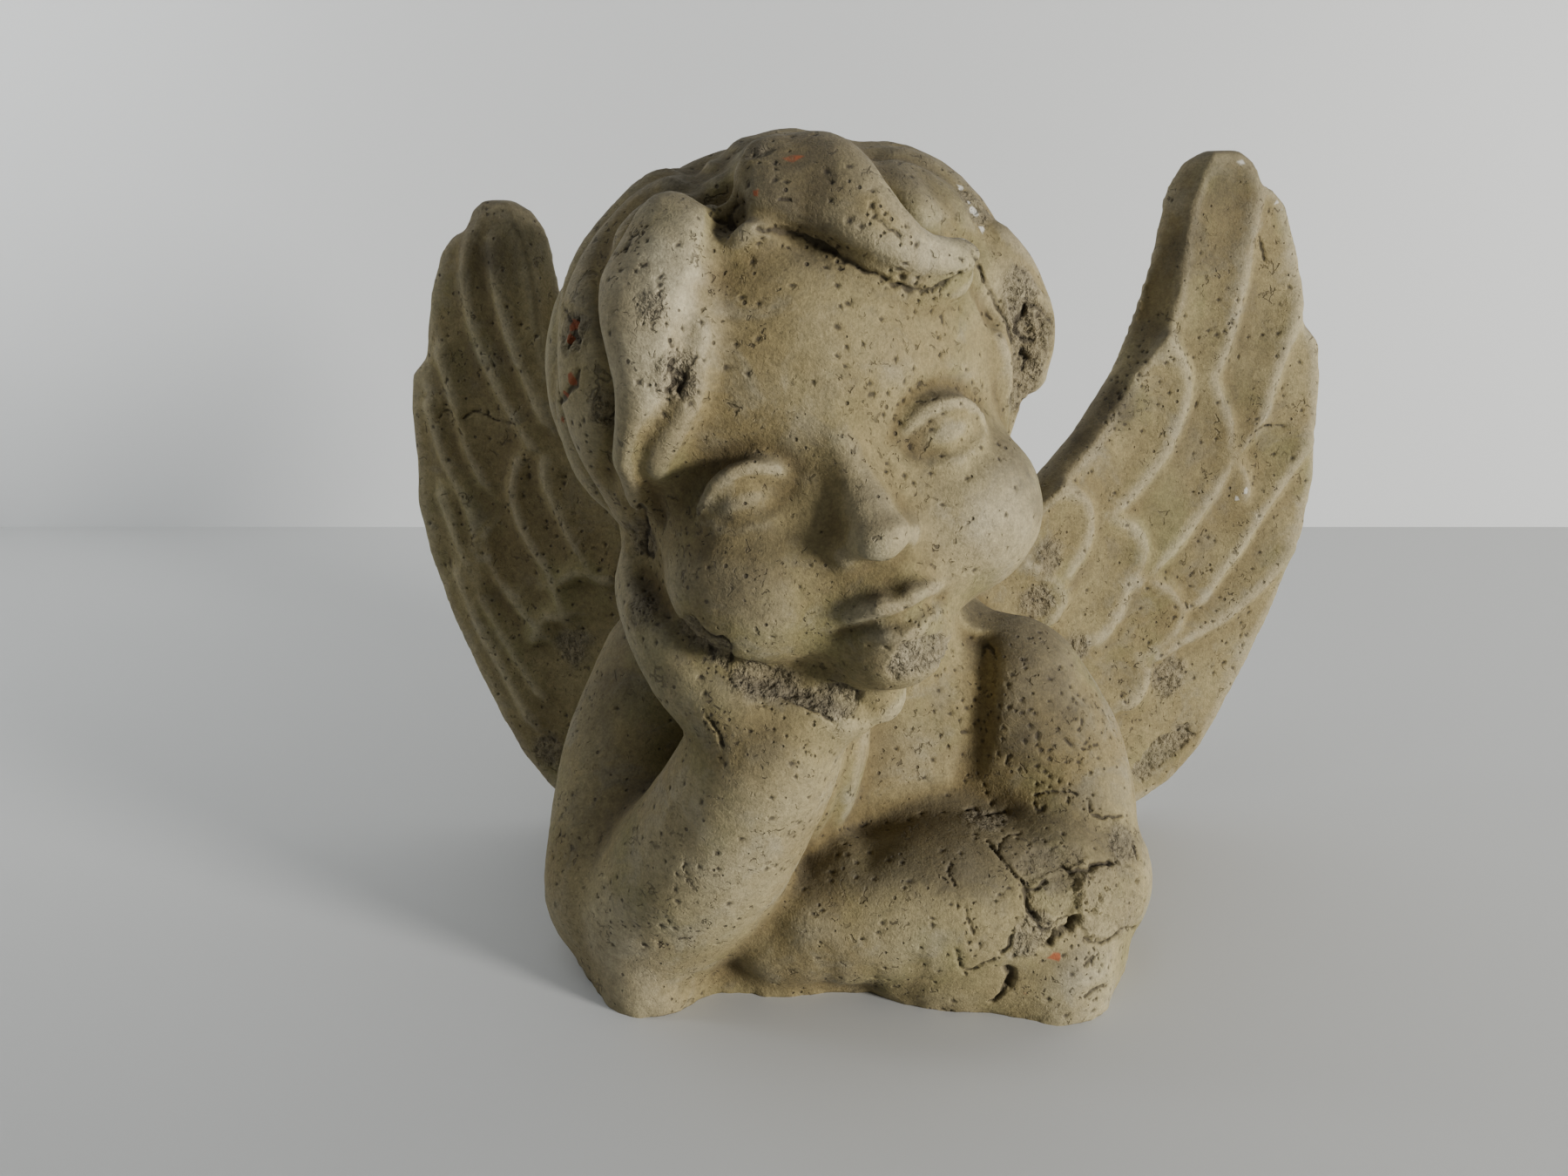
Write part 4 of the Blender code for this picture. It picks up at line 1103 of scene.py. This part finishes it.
class Finish:
    """A material's nodes."""

    def __init__(self, name):
        self.material = bpy.data.materials.new(name)
        self.material.use_nodes = True
        self.tree = self.material.node_tree
        self.shader = self.tree.nodes["Principled BSDF"]
        self.where = self.node("ShaderNodeTexCoord", {}, {}).outputs["Object"]

    def link(self, value, socket):
        """Feeds a socket from a field, another socket or a plain value."""
        if isinstance(value, Field):
            value = value.socket
        if isinstance(value, bpy.types.NodeSocket):
            self.tree.links.new(value, socket)
        elif socket.type == "RGBA":
            socket.default_value = (*value, 1)[:4]
        else:
            socket.default_value = value

    def node(self, kind, settings, sockets):
        """A node of a kind, with its settings and then what feeds its sockets."""
        made = self.tree.nodes.new(kind)
        for name, value in settings.items():
            setattr(made, name, value)
        for name, value in sockets.items():
            self.link(value, made.inputs[name])
        return made

    def wear_and_light(self, name):
        """A mask kept on the skin's points."""
        return Field(self, self.node("ShaderNodeAttribute", {"attribute_name": name}, {}).outputs["Fac"])

    def mottle(self, size, detail, rough, bend=0.0):
        """Noise with bumps of about this size in metres."""
        values = {"Scale": 1 / size, "Detail": detail, "Roughness": rough, "Distortion": bend}
        return Field(self, self.node("ShaderNodeTexNoise", {}, {"Vector": self.where, **values}).outputs[0])

    def pits(self, size, share, radius):
        """Round pits in this share of cells of a size in metres, up to this radius in shares of a cell."""
        cells = self.node("ShaderNodeTexVoronoi", {}, {"Vector": self.where, "Scale": 1 / size})
        parts = self.node("ShaderNodeSeparateColor", {}, {"Color": cells.outputs["Color"]})
        chance = Field(self, parts.outputs[0])
        reach = chance.rise(1 - share, 1) * radius + 0.001
        inside = (1 - Field(self, cells.outputs["Distance"]) / reach).rise(0, 0.6)
        return inside * chance.rise(1 - share, 1.05 - share)

    def fine_cracks(self, size, width):
        """Thin lines of crackle, round cells of about this size, both in metres."""
        values = {"Vector": self.where, "Scale": 1.5 / size, "Detail": 2}
        bend = self.node("ShaderNodeTexNoise", {}, values).outputs["Color"]
        values = {0: bend, "Scale": size * 0.9}
        shift = self.node("ShaderNodeVectorMath", {"operation": "SCALE"}, values).outputs[0]
        where = self.node("ShaderNodeVectorMath", {"operation": "ADD"}, {0: self.where, 1: shift}).outputs[0]
        settings = {"feature": "DISTANCE_TO_EDGE"}
        cells = self.node("ShaderNodeTexVoronoi", settings, {"Vector": where, "Scale": 1 / size})
        return 1 - Field(self, cells.outputs["Distance"]).rise(width / size * 0.3, width / size)

    def grey(self, value):
        """A grey as bright as a value."""
        return self.node("ShaderNodeCombineColor", {}, {0: value, 1: value, 2: value}).outputs[0]

    def blend(self, share, a, b, way="MIX"):
        """Colour b over colour a by a share."""
        settings = {"data_type": "RGBA", "blend_type": way}
        mix = self.node("ShaderNodeMix", settings, {MIX_SHARE: share, MIX_A: a, MIX_B: b})
        return mix.outputs[MIX_RESULT]

    def dress(self, **sockets):
        """The material, with its shader's sockets fed."""
        for name, value in sockets.items():
            self.link(value, self.shader.inputs[name.replace("_", " ")])
        return self.material


def concrete():
    """Old cast concrete: pale high places with wear and a painted highlight, brown and green patina, dirt and
    painted shade in hollows and on what faces up, dark pits and cracks.
    """
    finish = Finish("weathered concrete")
    hollow, dark, rough = finish.wear_and_light("hollow"), finish.wear_and_light("dark"), finish.wear_and_light("rough")
    broad, patchy = finish.mottle(0.05, 4, 0.6), finish.mottle(0.014, 5, 0.62, 0.6)
    grain, dust = finish.mottle(0.0022, 4, 0.7), finish.mottle(0.0007, 2, 0.6)

    # Cement and its patina, pale with wear and a painted highlight where proud, and brown with settled dirt
    # and painted shade where hollow
    tone = finish.blend(broad.rise(0.36, 0.66), CEMENT_BROWN, CEMENT_OCHRE)
    tone = finish.blend(finish.mottle(0.032, 4, 0.6).rise(0.48, 0.7) * 0.6, tone, GREEN_PATINA)
    tone = finish.blend(patchy.rise(0.5, 0.72) * 0.5, tone, GREY_PATINA)
    # Pale wear with a painted highlight on proud places
    wear_and_light = (0 - hollow + (patchy - 0.5) * 0.9 + (broad - 0.5) * 0.7).rise(0.05, 0.8)
    tone = finish.blend(wear_and_light * 0.35, tone, WORN_AND_LIT_CEMENT)
    # Settled dirt and painted shade, darkest where the skin is hollow
    settled_and_shade = (hollow * 0.7 + (patchy - 0.5) * 0.9 + (broad - 0.5) * 0.9).rise(-0.15, 0.85)
    tone = finish.blend(settled_and_shade * 0.82, tone, SETTLED_DIRT_AND_SHADE)

    # Grime and painted shade on what faces up, bleached places with painted light, soiled places with painted
    # shade, and broken patches
    grime_and_shade = (finish.wear_and_light("upper") + (patchy - 0.5) * 0.7 + (broad - 0.5) * 0.6).rise(0.3, 0.95)
    tone = finish.blend(grime_and_shade * 0.75, tone, UPPER_GRIME_AND_SHADE)
    # Bleaching and painted light at lit places
    tone = finish.blend(finish.wear_and_light("bleached_and_lit") * (0.7 + patchy * 0.5), tone, BLEACHED_AND_LIT_CEMENT)
    # Old dirt and painted shade at shadowed places
    tone = finish.blend((finish.wear_and_light("soiled_and_shaded") * (0.75 + patchy * 0.5)).rise(0, 1), tone, OLD_SOIL_AND_SHADE)
    tone = finish.blend(rough * 0.4, tone, BROKEN_CEMENT)
    speckle = finish.grey((grain - 0.5) * 1.1 + (dust - 0.5) * 0.8 + 1)
    tone = finish.blend(1.0, tone, speckle, "MULTIPLY")

    # Pits and crackle too small for the mesh, cracks and pits of the mesh, rust and chips
    clusters = finish.mottle(0.02, 3, 0.6).rise(0.4, 0.7)
    small = finish.mottle(0.0019, 2, 0.5, 0.8).rise(0.63, 0.69) * clusters | finish.pits(0.0024, 0.22, 0.3)
    crackled = finish.mottle(0.009, 3, 0.6).rise(0.63, 0.66) | 0.4 * rough
    crackle = finish.fine_cracks(0.006, 0.0004) * crackled
    crumb = finish.mottle(0.0019, 3, 0.65, 0.5)
    small = small | crackle * 0.6 | rough * (0.45 - crumb).rise(0.0, 0.09) * 0.6
    tone = finish.blend((dark + (grain - 0.5) * 0.6 * dark).rise(0.2, 0.8) * 0.75, tone, CRACK_BLACK)
    tone = finish.blend(small * 0.72, tone, PIT_BROWN)
    tone = finish.blend(finish.wear_and_light("rust").rise(0.3, 0.7) * 0.85, tone, RUST_RED)
    tone = finish.blend(finish.wear_and_light("pale").rise(0.3, 0.7) * 0.8, tone, CHIP_WHITE)

    height = grain * 0.5 + dust * 0.25 + patchy * 0.6 - small * 1.1 - dark * 0.6 + rough * crumb * 2.4
    bump = finish.node("ShaderNodeBump", {}, {"Strength": 0.8, "Distance": 0.0008, "Height": height})
    roughness = CONCRETE_ROUGHNESS + settled_and_shade * 0.1 - wear_and_light * 0.08
    return finish.dress(Base_Color=tone, Roughness=roughness, Normal=bump.outputs[0])


def stage():
    """A pale floor and a plain paler wall behind the bust."""
    left, right, back, top = -STAGE_REACH, STAGE_REACH, WALL_BACK, WALL_HEIGHT
    for name, corners, colour in (
        ("floor", ((left, left, 0), (right, left, 0), (right, back, 0), (left, back, 0)), FLOOR_COLOUR),
        ("wall", ((left, back, 0), (right, back, 0), (right, back, top), (left, back, top)), WALL_COLOUR),
    ):
        mesh = bpy.data.meshes.new(name)
        mesh.from_pydata(corners, [], [(0, 1, 2, 3)])
        mesh.materials.append(Finish("pale " + name).dress(Base_Color=colour, Roughness=STAGE_ROUGHNESS))
        panel = in_scene(name, mesh)


def lamp(name, place, aim, size, power, colour):
    """A round lamp that faces what it is aimed at."""
    light = bpy.data.lights.new(name, "AREA")
    light.shape, light.size, light.energy, light.color = "DISK", size, power, colour
    held = in_scene(name, light)
    held.location = place
    held.rotation_euler = (Vector(aim) - Vector(place)).to_track_quat("-Z", "Y").to_euler()


def light_and_camera():
    """The lamps, the light of the room, and the camera at the photograph's view."""
    for settings in LAMPS:
        lamp(*settings)
    world = bpy.data.worlds.new("studio")
    world.use_nodes = True
    room = world.node_tree.nodes["Background"].inputs
    room["Color"].default_value = ROOM_COLOUR
    room["Strength"].default_value = ROOM_LIGHT
    bpy.context.scene.world = world
    camera = bpy.data.cameras.new("camera")
    camera.sensor_width = SENSOR_WIDTH
    camera.lens = FOCAL * SENSOR_WIDTH / PICTURE[0]
    camera.clip_start = CLIP_START
    held = in_scene("camera", camera)
    held.location = units(VIEW_POINT)
    held.rotation_euler = (math.pi / 2 - VIEW_PITCH, 0, 0)
    bpy.context.scene.camera = held


def cherub():
    """The whole figure in its worn concrete."""
    mesh = finer_near_wear(sculpt(COARSE, FINE))
    weather = Weather(mesh)
    weather.wear_down()
    skin = finished_skin(weather.finish())
    skin.materials.append(concrete())
    piece = in_scene("weathered_cherub", skin)
    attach(piece, "root")
    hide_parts("cherub_bust")


cherub()
stage()
light_and_camera()
